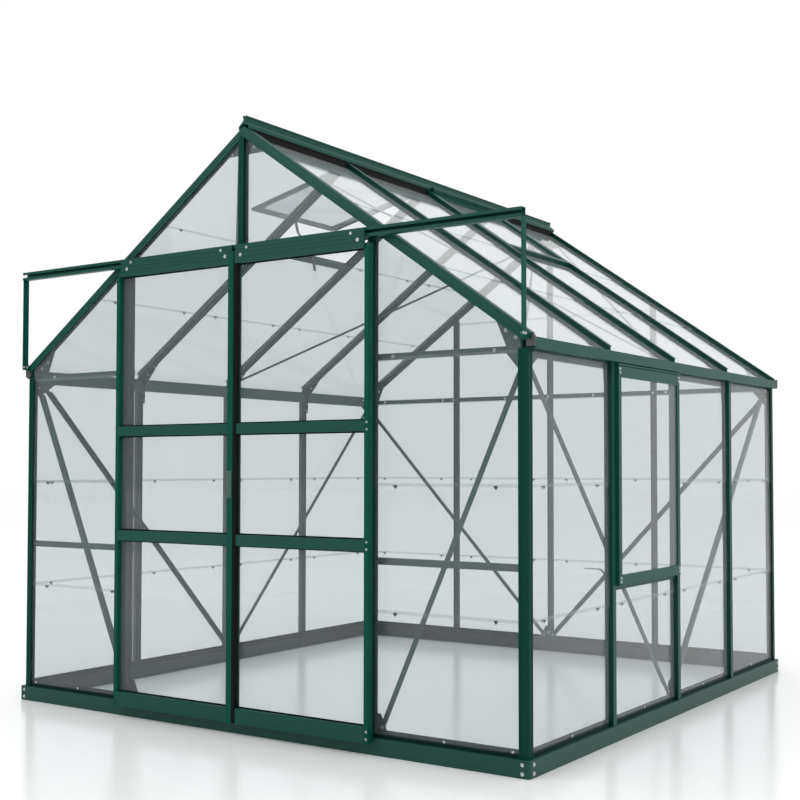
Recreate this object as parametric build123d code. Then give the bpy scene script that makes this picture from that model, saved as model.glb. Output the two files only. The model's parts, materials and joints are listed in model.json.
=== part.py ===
from build123d import *
import os
from collections import namedtuple
from math import asin, cos, degrees, hypot, radians, sin, tan

# A free-standing aluminium greenhouse glazed with lapped glass: four bays wide
# and four deep, with a pair of sliding doors, two roof vents and a side window.
# Millimetres. X runs to the right seen from the doors, Y to the back, Z up.

# Plan and heights
BAY_WIDE = 624.0          # centre to centre of the glazing bars, across the doors
BAY_DEEP = 624.0          # the same along the side walls
BAYS_WIDE = 4
BAYS_DEEP = 4
GLASS_SET = 13.0          # outer face of the glass beyond the outermost bay line
BASE_TALL = 60.0
EAVE_HEIGHT = 1419.0      # underside of the gutters
PITCH = 34.8              # roof pitch in degrees

# Glass
GLASS = 3.0
WALL_ROWS = 3             # rows of panes from base to eave
LAP = 12.0                # overlap of one pane over the next
LAP_GAP = 0.3             # air between lapped panes
SEAT_GAP = 0.1            # air between a pane and its seat
EDGE_GAP = 3.0            # pane edge to bar stem
POST_GAP = 2.0            # pane edge to corner post or rafter
ROOF_LAP_SHARES = (0.66, 0.351)   # roof laps as shares of the run from ridge to eave
ROOF_OVERHANG = 4.0       # glass edge beyond the bars' outer face, over the gutter

# Glazing bar section, measured inwards from its outer face
BAR_PROUD = 20.0          # outer face before the glass
CAP_WIDE = 26.0
CAP_THICK = 3.0
STEM_WIDE = 8.0
FLANGE_WIDE = 27.0
FLANGE_THICK = 2.5
CHANNEL_WIDE = 16.0
CHANNEL_WALL = 2.0
CHANNEL_MOUTH = 8.0       # open slot of the bolt channel
BAR_DEPTH = 37.0

# Corner post and gable rafter section
POST_PROUD = 11.0
POST_ROUND = 12.0
POST_WALL = 2.5
LIP_LONG = 8.0
LIP_THICK = 3.0
SEAT_LONG = 12.0
RAFTER_CORE = 29.0
GROOVE_WIDE = 3.0
GROOVE_DEEP = 1.0

# Base
BASE_PROUD = 4.0          # base face beyond the bars' outer face
BASE_FLANGE = 42.0
BASE_SHEET = 3.0
CORNER_LEG = 70.0
CORNER_ROUND = 12.0

# Sills on the base
SILL_TUBE_TALL = 12.0
SILL_TALL = 27.0
SILL_FRONT = 14.0         # sill front behind the bars' outer face

# Gutter
GUTTER_OUT = 16.0         # outer wall beyond the bars' outer face
GUTTER_TALL = 38.0
GUTTER_SHEET = 3.0
LEDGE_WIDE = 18.0         # box beam that the roof bars sit on
LEDGE_TALL = 31.0
SEAT_SET = 4.0            # where a bar's underside meets the ledge
GUTTER_SHORT = 23.0       # gutter end inside the bars' outer face
APRON_DROP = 25.0         # inner apron below the gutter
APRON_RISE = 6.0          # how far the apron laps the box beam
END_CAP = 8.0
END_CAP_WIDE = 32.0
END_CAP_LIFT = 6.0        # cap above the gutter's underside and its outer wall
END_CAP_HORN = 13.0
BAR_TIP_SET = 13.0        # roof bar tip inside the walls' outer face

# Ridge
RIDGE_WEB = 48.0
RIDGE_SHEET = 3.0
RIDGE_CAP_WIDE = 60.0
RIDGE_CAP_TALL = 35.0
RIDGE_CAP_CLEAR = 2.7     # cap edge above the roof bars
RIDGE_CAP_EDGE = 13.0     # upright edge under the flare of the cap
RIDGE_NECK = 12.0
RIDGE_BEAD_WIDE = 18.0
RIDGE_BEAD_LIP = 6.0
RIDGE_BEAD_TALL = 19.0
RIDGE_BEAD_SLOT = 8.0
RIDGE_SHORT = 19.0        # ridge end inside the bars' outer face
MITRE_GAP = 0.5

# Bracing
PLATE = 3.0
TIE_WIDE = 24.0
TIE_LOW = 11.0            # lower edge of an eave tie below the gutters
BRACE_WIDE = 20.0
MID_TIE_HEIGHT = 672.0
MID_TIE_WIDE = 26.0
PLATE_CLEAR = 0.5         # plate edge below the glass seat of a rafter
GUSSET_IN = 10.0          # gusset cover on the corner post
GUSSET_DROP = 79.0
GUSSET_REACH = 122.0
APEX_REACH = 92.0
APEX_EDGE = 14.0
EAVE_PLATE_LONG = 86.0
EAVE_PLATE_DROP = 69.0
EAVE_PLATE_EDGE = 22.0
EAVE_PLATE_TOP = 5.0
FOOT_PLATE_WIDE = 90.0
FOOT_PLATE_TALL = 80.0
FOOT_PLATE_TOP = 40.0
BRACE_FOOT = 24.0         # brace end from the centre line of its bar
KNEE_REACH = 94.0
KNEE_DROP = 84.0
KNEE_EDGE = 11.0
KNEE_HOLD = 8.0           # how far a bracket laps the bolt channels
KNEE_CLEAR = 1.0
ROOF_BRACE_FOOT = 24.0    # roof brace foot inside the wall bars
ROOF_BRACE_HEAD = 14.0    # roof brace head inside the gables
BRACE_LEG = 18.0          # inward leg of a wall brace
BRACE_LEG_CUT = 40.0      # where the leg is cut back at both ends

# Door track on the front gable
TRACK_TALL = 34.0
TRACK_DEEP = 26.0
TRACK_SHEET = 3.0
TRACK_SLOT = 12.0
TRACK_SHORT = 9.0         # track end inside the bars' outer face
HEADER_TALL = 27.0
HEADER_CLEAR = 7.6        # header top below the rafters
STRUT_WIDE = 4.0
STRUT_DEEP = 28.0
STRUT_TAB = 24.0
STRUT_FOOT = 5.0          # strut foot above the gutter ledge

# Doors
DOOR_POST_SHIFT = 8.0     # door posts outside the bay lines
DOOR_LAP = 19.0           # door edge beyond the centre line of its post
DOOR_FRONT = 39.0         # door front face before the bars' outer face
DOOR_DEEP = 28.0
DOOR_BOTTOM = 45.0
MEETING_GAP = 5.5
MEETING_SHIFT = 3.75      # meeting line right of the centre
LEFT_MEETING = 28.0       # width of the left leaf's meeting stile, which covers the joint
RIGHT_MEETING = 12.0
STILE_WIDE = 18.0
STILE_WALL = 2.5
PANE_GROOVE = 8.0
PANE_SET = 20.4           # glazing groove behind the door front
GROOVE_PLAY = 0.3
PANE_END_GAP = 1.0
RAIL_SHEET = 2.5
BOTTOM_RAIL_TALL = 58.0
LOWER_RAIL_SHARE = 0.3833  # rail undersides as shares of the stiles' length
LOWER_RAIL_TALL = 42.0
UPPER_RAIL_SHARE = 0.6263
UPPER_RAIL_TALL = 40.0
FASCIA_DROP = 42.0        # stile tops below the track
TOP_RAIL_TALL = 18.0
FASCIA_TALL = 71.0
FASCIA_THICK = 8.0
FASCIA_SHORT = 21.0       # fascia end inside the door's outer edge
LEFT_FASCIA = 10.0        # left leaf's fascia from the centre
MEETING_RISE = 48.0       # left leaf's meeting stile up the fascia
FASCIA_PLAY = 0.5         # fascia to that stile
FASCIA_GROOVE = 2.0
FASCIA_GROOVE_DEEP = 1.2
FASCIA_GROOVE_SHARES = (0.3, 0.52, 0.74)
ROLLER_GAP = 0.3
ROLLER_THICK = 12.0
AXLE = 8.0
ROLLER_FIRST = 67.0       # inner roller from the centre
ROLLER_INSET = 60.0       # outer roller from the end of the fascia
HANDLE_WIDE = 26.0
HANDLE_TALL = 104.0
HANDLE_THICK = 6.0
HANDLE_HEIGHT = 905.0
HANDLE_ROUND = 2.5

# Roof vents
VENT_BAY = 2              # bay of the right vent; the left one is a bay nearer the doors
VENT_CLEAR = 3.0          # frame edge to the caps of the bars beside it
VENT_START = 40.0         # along the slope from the meeting line of the roof planes
VENT_END = 566.0
VENT_OPEN = 21.5          # degrees the left vent stands open
VENT_THICK = 13.0
VENT_RAIL = 26.0
VENT_COVER = 8.0          # rail cover over the vent's pane
VENT_SKIRT = 7.0          # side skirts below the rails
VENT_SKIRT_WALL = 3.0
VENT_SKIRT_SET = 20.0     # skirt ends inside the frame
HINGE_RADIUS = 5.0
HINGE_RISE = 11.0         # hinge line above the lower edge of the ridge cap
HINGE_GAP = 0.3
HINGE_LEAF = 4.0
VENT_SILL = 30.0
VENT_UPSTAND = 6.0
VENT_UPSTAND_SET = 10.0   # upstand inside the vent's lower edge

# Side window
WINDOW_BAY = 1
WINDOW_BOTTOM = 578.0
WINDOW_TOP = 1405.0
WINDOW_PROUD = 14.0
WINDOW_FACE = 6.0
WINDOW_WEB = 3.0
WINDOW_CLEAR = 2.0
WINDOW_TOP_RAIL = 42.0
WINDOW_LOW_RAIL = 40.0
WINDOW_STILE = 24.0
WINDOW_COVER = 12.0
WINDOW_SILL = 18.0
WINDOW_SILL_DEEP = 12.0

# Casement stays
STAY_WIDE = 18.0
STAY_THICK = 3.0
STAY_TAIL = 80.0
STAY_SET = 16.0           # open stay inside the vent sill
STAY_DROP = 45.0
STAY_HANG = 190.0
STAY_LEVEL = 9.0          # window stay above the window's lower edge
STAY_LONG = 285.0
STAY_RISE = 24.0
STAY_BEND = 14.0
STAY_KNUCKLE_SHARE = 0.33     # knuckle of the open stay, as a share of its upper length

OVERRUN = 60.0            # extra length on pieces that are cut to a plane

# Worked-out positions
COSP = cos(radians(PITCH))
SINP = sin(radians(PITCH))
TANP = tan(radians(PITCH))
GLASS_X = BAYS_WIDE * BAY_WIDE / 2 + GLASS_SET
GLASS_Y = BAYS_DEEP * BAY_DEEP / 2 + GLASS_SET
FACE_X = GLASS_X + BAR_PROUD
FACE_Y = GLASS_Y + BAR_PROUD
POST_X = GLASS_X + POST_PROUD
POST_Y = GLASS_Y + POST_PROUD
INNER_X = FACE_X - BAR_DEPTH
INNER_Y = FACE_Y - BAR_DEPTH
BASE_X = FACE_X + BASE_PROUD
BASE_Y = FACE_Y + BASE_PROUD
POST_CORE = POST_X - INNER_X
SEAT_DEPTH = BAR_PROUD + GLASS
FLANGE_BACK = SEAT_DEPTH + FLANGE_THICK
RAFTER_DEPTH = RAFTER_CORE + LIP_LONG
LEDGE_TOP = EAVE_HEIGHT + LEDGE_TALL
APEX = LEDGE_TOP + (INNER_X + SEAT_SET) * TANP + BAR_DEPTH / COSP
RIDGE_LOW = APEX - RIDGE_WEB / 2 * TANP - BAR_DEPTH / COSP
RIDGE_CAP_LOW = APEX - RIDGE_WEB / 2 * TANP + RIDGE_CAP_CLEAR
RIDGE_TOP = RIDGE_CAP_LOW + RIDGE_CAP_TALL + RIDGE_BEAD_TALL
RIDGE_HALF = FACE_Y - RIDGE_SHORT
BAR_LINES_X = [BAY_WIDE * (i - BAYS_WIDE / 2) for i in range(1, BAYS_WIDE)]
BAR_LINES_Y = [BAY_DEEP * (i - BAYS_DEEP / 2) for i in range(1, BAYS_DEEP)]
MIDDLE_Y = BAR_LINES_Y[len(BAR_LINES_Y) // 2]
DOOR_POST = BAR_LINES_X[-1] + DOOR_POST_SHIFT
HEADER_HALF = DOOR_POST - FLANGE_WIDE / 2
TRACK_HEIGHT = APEX - HEADER_HALF * TANP - RAFTER_DEPTH / COSP - HEADER_CLEAR - HEADER_TALL
FASCIA_HEIGHT = TRACK_HEIGHT - FASCIA_DROP
LOWER_RAIL_HEIGHT = DOOR_BOTTOM + LOWER_RAIL_SHARE * (FASCIA_HEIGHT - DOOR_BOTTOM)
UPPER_RAIL_HEIGHT = DOOR_BOTTOM + UPPER_RAIL_SHARE * (FASCIA_HEIGHT - DOOR_BOTTOM)
SLOPE = (COSP, 0, -SINP)          # down the right slope
NORMAL = (SINP, 0, COSP)          # out of the right slope
CENTRE_SHIFT = (DOOR_FRONT + HANDLE_THICK - BASE_PROUD) / 2


# Helpers

def block(x0, x1, y0, y1, z0, z1):
    """A block between two corners."""
    size = Box(x1 - x0, y1 - y0, z1 - z0)
    return Pos((x0 + x1) / 2, (y0 + y1) / 2, (z0 + z1) / 2) * size


def patch(a0, a1, b0, b1):
    """A rectangle of a section between two corners."""
    return Pos((a0 + a1) / 2, (b0 + b1) / 2) * Rectangle(a1 - a0, b1 - b0)


def strip(width, near, far):
    """A rectangle of a section about its centre line, from one depth to another."""
    return patch(-width / 2, width / 2, near, far)


def outline(points):
    """A flat face inside a closed outline."""
    return make_face(Polyline(*points, close=True))


def run(section, start, along, inward, length):
    """A section pushed along a line; its depth points inward."""
    direction = Vector(along).normalized()
    plane = Plane(origin=start, x_dir=Vector(inward).cross(direction), z_dir=direction)
    return extrude(plane * section, length, dir=direction)


def along_x(section, x0, x1):
    """A section in Y and Z, pushed from x0 to x1."""
    plane = Plane(origin=(x0, 0, 0), x_dir=(0, 1, 0), z_dir=(1, 0, 0))
    return extrude(plane * section, x1 - x0, dir=(1, 0, 0))


def along_y(section, y0, y1):
    """A section in X and Z, pushed from y0 to y1."""
    plane = Plane(origin=(0, y0, 0), x_dir=(1, 0, 0), z_dir=(0, -1, 0))
    return extrude(plane * section, y1 - y0, dir=(0, 1, 0))


def left_of(pieces):
    """Mirror images on the left half."""
    return [mirror(piece, about=Plane.YZ) for piece in pieces]


def back_of(pieces):
    """Mirror images on the back half."""
    return [mirror(piece, about=Plane.XZ) for piece in pieces]


def both_sides(pieces):
    return pieces + left_of(pieces)


def both_ends(pieces):
    return pieces + back_of(pieces)


def roof_z(x, depth=0):
    """Height of the roof at x, a depth below the bars' outer face."""
    return APEX - abs(x) * TANP - depth / COSP


def on_slope(s, n):
    """X and Z of a point s down the right slope and n above its bars."""
    return s * COSP + n * SINP, APEX - s * SINP + n * COSP


def under_roof(depth):
    """Everything of the building under the roof, a depth below its face."""
    wide = FACE_X + OVERRUN
    low = roof_z(wide, depth)
    corners = [(-wide, 0), (wide, 0), (wide, low), (0, roof_z(0, depth)), (-wide, low)]
    return along_y(outline(corners), -FACE_Y - OVERRUN, FACE_Y + OVERRUN)


def ridge_pocket(clear):
    """The room that the ridge web takes up, with a clearance round it."""
    half = RIDGE_WEB / 2 + clear
    long = RIDGE_HALF + clear
    return block(-half, half, -long, long, RIDGE_LOW - clear, RIDGE_TOP)


def strap(start, end, wide):
    """The outline of a straight flat bar between two points."""
    length = hypot(end[0] - start[0], end[1] - start[1])
    nx = -(end[1] - start[1]) / length * wide / 2
    nz = (end[0] - start[0]) / length * wide / 2
    return outline([(start[0] + nx, start[1] + nz), (end[0] + nx, end[1] + nz),
                    (end[0] - nx, end[1] - nz), (start[0] - nx, start[1] - nz)])


# Sections

def bar_section():
    """Cap, stem, glass seat and bolt channel of a glazing bar."""
    channel = strip(CHANNEL_WIDE, FLANGE_BACK, BAR_DEPTH)
    channel -= strip(CHANNEL_WIDE - 2 * CHANNEL_WALL, FLANGE_BACK, BAR_DEPTH - CHANNEL_WALL)
    channel -= strip(CHANNEL_MOUTH, BAR_DEPTH - CHANNEL_WALL, BAR_DEPTH)
    cap = strip(CAP_WIDE, 0, CAP_THICK) + strip(STEM_WIDE, CAP_THICK, SEAT_DEPTH)
    return cap + strip(FLANGE_WIDE, SEAT_DEPTH, FLANGE_BACK) + channel


def corner_section(core, first_proud, first_seat):
    """Hollow corner core with a lip over each pane and a seat behind it.

    The first depth is measured from the face that stands first_proud before
    its glass, the second from the face that stands POST_PROUD before its own.
    """
    seat = first_proud + GLASS
    side_seat = POST_PROUD + GLASS
    shape = patch(0, core, 0, POST_CORE)
    shape = fillet(shape.vertices().sort_by_distance((0, 0, 0))[0], POST_ROUND)
    hollow = patch(POST_WALL, core - POST_WALL, POST_WALL, POST_CORE - POST_WALL)
    shape -= fillet(hollow.vertices().sort_by_distance((0, 0, 0))[0], POST_ROUND - POST_WALL)
    shape += patch(0, LIP_THICK, POST_CORE, POST_CORE + LIP_LONG)
    shape += patch(seat, seat + FLANGE_THICK, POST_CORE, POST_CORE + SEAT_LONG)
    shape += patch(core, core + LIP_LONG, 0, LIP_THICK)
    shape += patch(core, core + first_seat, side_seat, side_seat + FLANGE_THICK)
    far = POST_CORE - GROOVE_WIDE - POST_WALL
    shape -= patch(0, GROOVE_DEEP, far, far + GROOVE_WIDE)
    shape -= patch(far, far + GROOVE_WIDE, 0, GROOVE_DEEP)
    return shape


def post_section():
    return corner_section(POST_CORE, POST_PROUD, SEAT_LONG)


def rafter_section():
    """The corner core with a deeper roof side and a leg for the gusset plates."""
    leg = patch(RAFTER_CORE, RAFTER_DEPTH, POST_CORE - POST_WALL, POST_CORE)
    return corner_section(RAFTER_CORE, BAR_PROUD, LIP_LONG) + leg


# Base

def base_section(outer):
    """Channel with its open side inwards, standing at a place below zero."""
    web = patch(-outer, -outer + BASE_SHEET, 0, BASE_TALL)
    foot = patch(-outer, -outer + BASE_FLANGE, 0, BASE_SHEET)
    top = patch(-outer, -outer + BASE_FLANGE, BASE_TALL - BASE_SHEET, BASE_TALL)
    return web + foot + top


def base_rails():
    side = along_y(base_section(BASE_X), -BASE_Y + CORNER_LEG, BASE_Y - CORNER_LEG)
    end = along_x(base_section(BASE_Y), -BASE_X + CORNER_LEG, BASE_X - CORNER_LEG)
    return both_sides([side]), both_ends([end])


def base_corner_pieces():
    """A bent corner of the base channel, rounded on its outer edge."""
    angle = outline([(0, 0), (CORNER_LEG, 0), (CORNER_LEG, BASE_FLANGE), (BASE_FLANGE, BASE_FLANGE),
                     (BASE_FLANGE, CORNER_LEG), (0, CORNER_LEG)])
    angle = fillet(angle.vertices().sort_by_distance((0, 0, 0))[0], CORNER_ROUND)
    inner = patch(BASE_SHEET, CORNER_LEG, BASE_SHEET, CORNER_LEG)
    inner = fillet(inner.vertices().sort_by_distance((0, 0, 0))[0], CORNER_ROUND - BASE_SHEET)
    inside = Pos(0, 0, BASE_SHEET) * extrude(inner, BASE_TALL - 2 * BASE_SHEET)
    piece = Pos(-BASE_X, -BASE_Y, 0) * (extrude(angle, BASE_TALL) - inside)
    return both_ends(both_sides([piece]))


def sill_section(face):
    """Glazing sill: a ledge for the glass with an upright seat behind it."""
    ledge = patch(-face + SILL_FRONT, -face + BAR_DEPTH, BASE_TALL, BASE_TALL + SILL_TUBE_TALL)
    upright = patch(-face + SEAT_DEPTH, -face + FLANGE_BACK, BASE_TALL, BASE_TALL + SILL_TALL)
    return ledge + upright


def spans(lines, end):
    """Free lengths between the seats of neighbouring bars and end posts."""
    half = FLANGE_WIDE / 2
    starts = [-end] + [line + half for line in lines]
    stops = [line - half for line in lines] + [end]
    return list(zip(starts, stops))


def wall_sills():
    """One sill between each pair of bars, none across the doorway."""
    side_end = POST_Y - POST_CORE - SEAT_LONG
    front_end = POST_X - POST_CORE - SEAT_LONG
    sides = [along_y(sill_section(FACE_X), low, high) for low, high in spans(BAR_LINES_Y, side_end)]
    backs = [along_x(sill_section(FACE_Y), low, high) for low, high in spans(BAR_LINES_X, front_end)]
    front = along_x(sill_section(FACE_Y), DOOR_POST + FLANGE_WIDE / 2, front_end)
    return both_sides(sides) + both_sides([front]) + back_of(backs)


# Posts, bars, eaves and ridge

def corner_posts():
    plane = Plane(origin=(POST_X, -POST_Y, EAVE_HEIGHT), x_dir=(-1, 0, 0), z_dir=(0, 0, -1))
    post = extrude(plane * post_section(), EAVE_HEIGHT - BASE_TALL, dir=(0, 0, -1))
    return both_ends(both_sides([post]))


def side_wall_bars():
    tall = EAVE_HEIGHT - BASE_TALL
    bars = [run(bar_section(), (FACE_X, y, BASE_TALL), (0, 0, 1), (-1, 0, 0), tall) for y in BAR_LINES_Y]
    return both_sides(bars)


def gable_bar(x, foot):
    """An upright bar of the front gable, cut to the rafters and round the ridge."""
    bar = run(bar_section(), (x, -FACE_Y, foot), (0, 0, 1), (0, 1, 0), RIDGE_TOP - foot)
    return (bar & under_roof(RAFTER_DEPTH)) - ridge_pocket(0)


def door_header():
    """Cross bar between the door posts that carries the gable's middle bar."""
    top = TRACK_HEIGHT + HEADER_TALL
    section = patch(-FACE_Y + SEAT_DEPTH, -INNER_Y, TRACK_HEIGHT, top)
    section -= patch(-FACE_Y + FLANGE_BACK, -INNER_Y - CHANNEL_WALL, TRACK_HEIGHT + CHANNEL_WALL,
                     top - CHANNEL_WALL)
    return [along_x(section, -HEADER_HALF, HEADER_HALF)]


def eaves_gutters():
    """A box beam that carries the roof bars, with a trough outside and an apron inside."""
    outer = FACE_X + GUTTER_OUT
    ledge = INNER_X + LEDGE_WIDE
    shell = patch(INNER_X, outer, EAVE_HEIGHT, EAVE_HEIGHT + GUTTER_SHEET)
    shell += patch(outer - GUTTER_SHEET, outer, EAVE_HEIGHT, EAVE_HEIGHT + GUTTER_TALL)
    shell += patch(INNER_X, ledge, EAVE_HEIGHT, LEDGE_TOP)
    shell -= patch(INNER_X + GUTTER_SHEET, ledge - GUTTER_SHEET, EAVE_HEIGHT + GUTTER_SHEET,
                   LEDGE_TOP - GUTTER_SHEET)
    half = FACE_Y - GUTTER_SHORT
    low = EAVE_HEIGHT - APRON_DROP
    high = EAVE_HEIGHT + APRON_RISE
    reach = POST_Y - POST_CORE - LIP_LONG - EAVE_PLATE_LONG - PLATE_CLEAR
    apron = block(INNER_X - GUTTER_SHEET, INNER_X, -reach, reach, low, high)
    for y in BAR_LINES_Y:
        near = y + CHANNEL_WIDE / 2 - KNEE_CLEAR
        far = near + PLATE + 2 * KNEE_CLEAR
        apron -= block(INNER_X - GUTTER_SHEET, INNER_X, near, far, low, high)
    return both_sides([along_y(shell, -half, half) + apron])


def gutter_end_caps():
    """Moulded caps that close the ends of the gutters."""
    outer = FACE_X + GUTTER_OUT
    end = FACE_Y - GUTTER_SHORT
    low = EAVE_HEIGHT + END_CAP_LIFT
    cap = patch(outer - END_CAP_WIDE, outer, low, LEDGE_TOP)
    cap += patch(outer - END_CAP_HORN, outer, low, low + GUTTER_TALL)
    return both_ends(both_sides([along_y(cap, -end - END_CAP, -end)]))


def ridge_beam():
    """Hollow ridge web under a flared cap, with a slotted and lipped bead on top."""
    half = RIDGE_WEB / 2
    wide = RIDGE_CAP_WIDE / 2
    neck = RIDGE_NECK / 2
    cap_top = RIDGE_CAP_LOW + RIDGE_CAP_TALL
    edge = RIDGE_CAP_LOW + RIDGE_CAP_EDGE
    shape = outline([(-wide, RIDGE_CAP_LOW), (wide, RIDGE_CAP_LOW), (wide, edge), (neck, cap_top),
                     (-neck, cap_top), (-wide, edge)])
    shape += patch(-half, half, RIDGE_LOW, RIDGE_CAP_LOW)
    room = half - RIDGE_SHEET
    low = RIDGE_LOW + RIDGE_SHEET
    peak = cap_top - RIDGE_CAP_EDGE
    shape -= outline([(-room, low), (room, low), (room, edge), (0, peak), (-room, edge)])
    bead = RIDGE_BEAD_WIDE / 2
    shape += patch(-neck, neck, cap_top, RIDGE_TOP)
    shape += patch(-bead, bead, RIDGE_TOP - RIDGE_BEAD_LIP, RIDGE_TOP)
    slot = RIDGE_BEAD_SLOT / 2
    shape -= patch(-slot, slot, RIDGE_TOP - RIDGE_BEAD_TALL / 2, RIDGE_TOP)
    return [along_y(shape, -RIDGE_HALF, RIDGE_HALF)]


def gable_rafters():
    """The corner extrusion laid up each gable, mitred at the apex."""
    length = (FACE_X + 2 * OVERRUN) / COSP
    start = (-OVERRUN * COSP, -POST_Y, APEX + OVERRUN * SINP)
    plane = Plane(origin=start, x_dir=(-SINP, 0, -COSP), z_dir=SLOPE)
    rafter = extrude(plane * rafter_section(), length, dir=SLOPE)
    keep = block(MITRE_GAP / 2, FACE_X, -FACE_Y, FACE_Y, LEDGE_TOP, RIDGE_TOP + OVERRUN)
    pocket = block(0, RIDGE_WEB / 2, -RIDGE_HALF, RIDGE_HALF, 0, RIDGE_TOP + OVERRUN)
    return both_ends(both_sides([(rafter & keep) - pocket]))


def roof_bars():
    """Bars from the ridge to the gutter ledge, cut level where they sit."""
    length = (FACE_X + OVERRUN) / COSP
    keep = block(RIDGE_WEB / 2, FACE_X - BAR_TIP_SET, -FACE_Y, FACE_Y, LEDGE_TOP, RIDGE_TOP)
    inward = (-SINP, 0, -COSP)
    bars = [run(bar_section(), (0, y, APEX), SLOPE, inward, length) & keep for y in BAR_LINES_Y]
    return both_sides(bars)


# Plates and braces inside the frame

PLATE_DEPTH = FLANGE_BACK + PLATE_CLEAR
TIE_BOTTOM = EAVE_HEIGHT - TIE_LOW
TIE_TOP = TIE_BOTTOM + TIE_WIDE
TIE_END = INNER_X + GUSSET_IN - GUSSET_DROP


def gusset_plates():
    """Corner and apex plates of the gables, and eave plates of the side walls."""
    low = EAVE_HEIGHT - GUSSET_DROP
    edge = INNER_X + GUSSET_IN
    far = edge - GUSSET_REACH
    top = edge - GUSSET_IN
    corner = [(edge, low), (edge, EAVE_HEIGHT), (top, EAVE_HEIGHT), (top, roof_z(top, PLATE_DEPTH)),
              (far, roof_z(far, PLATE_DEPTH)), (far, roof_z(far, RAFTER_DEPTH)), (TIE_END, TIE_TOP),
              (TIE_END, TIE_BOTTOM), (edge - BRACE_WIDE, low)]
    level = RIDGE_LOW - PLATE_CLEAR
    start = (APEX - PLATE_DEPTH / COSP - level) / TANP
    wing = roof_z(APEX_REACH, PLATE_DEPTH)
    edge_low = wing - APEX_EDGE
    apex = [(start, level), (APEX_REACH, wing), (APEX_REACH, edge_low), (-APEX_REACH, edge_low),
            (-APEX_REACH, wing), (-start, level)]
    gable = both_sides([along_y(outline(corner), -INNER_Y, -INNER_Y + PLATE)])
    gable.append(along_y(outline(apex), -INNER_Y, -INNER_Y + PLATE))
    near = -(POST_Y - POST_CORE - LIP_LONG)
    drop = EAVE_HEIGHT - EAVE_PLATE_DROP
    hang = LEDGE_TOP - EAVE_PLATE_TOP
    eave = [(near, drop), (near, hang), (near + EAVE_PLATE_LONG, hang),
            (near + EAVE_PLATE_LONG, EAVE_HEIGHT - APRON_DROP), (near + EAVE_PLATE_EDGE, drop)]
    side = both_sides([along_x(outline(eave), INNER_X - PLATE, INNER_X)])
    return both_ends(gable + side)


def foot_plate_outline(centre):
    half = FOOT_PLATE_WIDE / 2
    top = FOOT_PLATE_TOP / 2
    high = BASE_TALL + FOOT_PLATE_TALL
    shoulder = BASE_TALL + SILL_TALL
    return outline([(centre - half, BASE_TALL), (centre + half, BASE_TALL), (centre + half, shoulder),
                    (centre + top, high), (centre - top, high), (centre - half, shoulder)])


def foot_plates():
    """Plates at the feet of the bars where the braces come down."""
    front = both_sides([along_y(foot_plate_outline(DOOR_POST), -INNER_Y, -INNER_Y + PLATE)])
    back = back_of([along_y(foot_plate_outline(0), -INNER_Y, -INNER_Y + PLATE)])
    sides = both_sides([along_x(foot_plate_outline(MIDDLE_Y), INNER_X - PLATE, INNER_X)])
    return front + back + sides


def gable_ties():
    """Flat ties at eave height, and the middle ties beside the doorway."""
    inner = DOOR_POST - CHANNEL_WIDE / 2
    y0 = -INNER_Y
    y1 = y0 + PLATE
    front = block(inner, TIE_END, y0, y1, TIE_BOTTOM, TIE_TOP)
    middle = block(inner, INNER_X + GUSSET_IN, y0, y1, MID_TIE_HEIGHT, MID_TIE_HEIGHT + MID_TIE_WIDE)
    back = block(-TIE_END, TIE_END, y0, y1, TIE_BOTTOM, TIE_TOP)
    return both_sides([front, middle]) + back_of([back])


def brace(foot, top, push, near, inward):
    """An angle bar: a flat strap with a leg along its upper edge, cut back at both ends."""
    length = hypot(top[0] - foot[0], top[1] - foot[1])
    rise = (top[0] - foot[0]) / length, (top[1] - foot[1]) / length
    lift = (BRACE_WIDE - PLATE) / 2 * (1 if rise[0] > 0 else -1)
    across = -rise[1] * lift, rise[0] * lift
    low = foot[0] + rise[0] * BRACE_LEG_CUT + across[0], foot[1] + rise[1] * BRACE_LEG_CUT + across[1]
    high = top[0] - rise[0] * BRACE_LEG_CUT + across[0], top[1] - rise[1] * BRACE_LEG_CUT + across[1]
    sheet = sorted((near, near + inward * PLATE))
    reach = sorted((near, near + inward * BRACE_LEG))
    return push(strap(foot, top, BRACE_WIDE), *sheet) + push(strap(low, high, PLATE), *reach)


def end_wall_diagonals():
    """Braces of the front panels and the wide V of the back wall."""
    top = (INNER_X, EAVE_HEIGHT - GUSSET_DROP / 2)
    level = BASE_TALL + SILL_TALL
    near = -INNER_Y + PLATE
    front = brace((DOOR_POST + BRACE_FOOT, level), top, along_y, near, 1)
    back = brace((BRACE_FOOT, level), top, along_y, near, 1)
    return both_sides([front]) + back_of(both_sides([back]))


def side_wall_diagonals():
    """A V on each side wall, from both eave corners to the middle bar's foot."""
    corner = POST_Y - POST_CORE - LIP_LONG - EAVE_PLATE_EDGE
    high = EAVE_HEIGHT - EAVE_PLATE_DROP / 2
    level = BASE_TALL + SILL_TALL
    near = INNER_X - PLATE
    front = brace((MIDDLE_Y - BRACE_FOOT, level), (-corner, high), along_x, near, -1)
    back = brace((MIDDLE_Y + BRACE_FOOT, level), (corner, high), along_x, near, -1)
    return both_sides([front, back])


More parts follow.
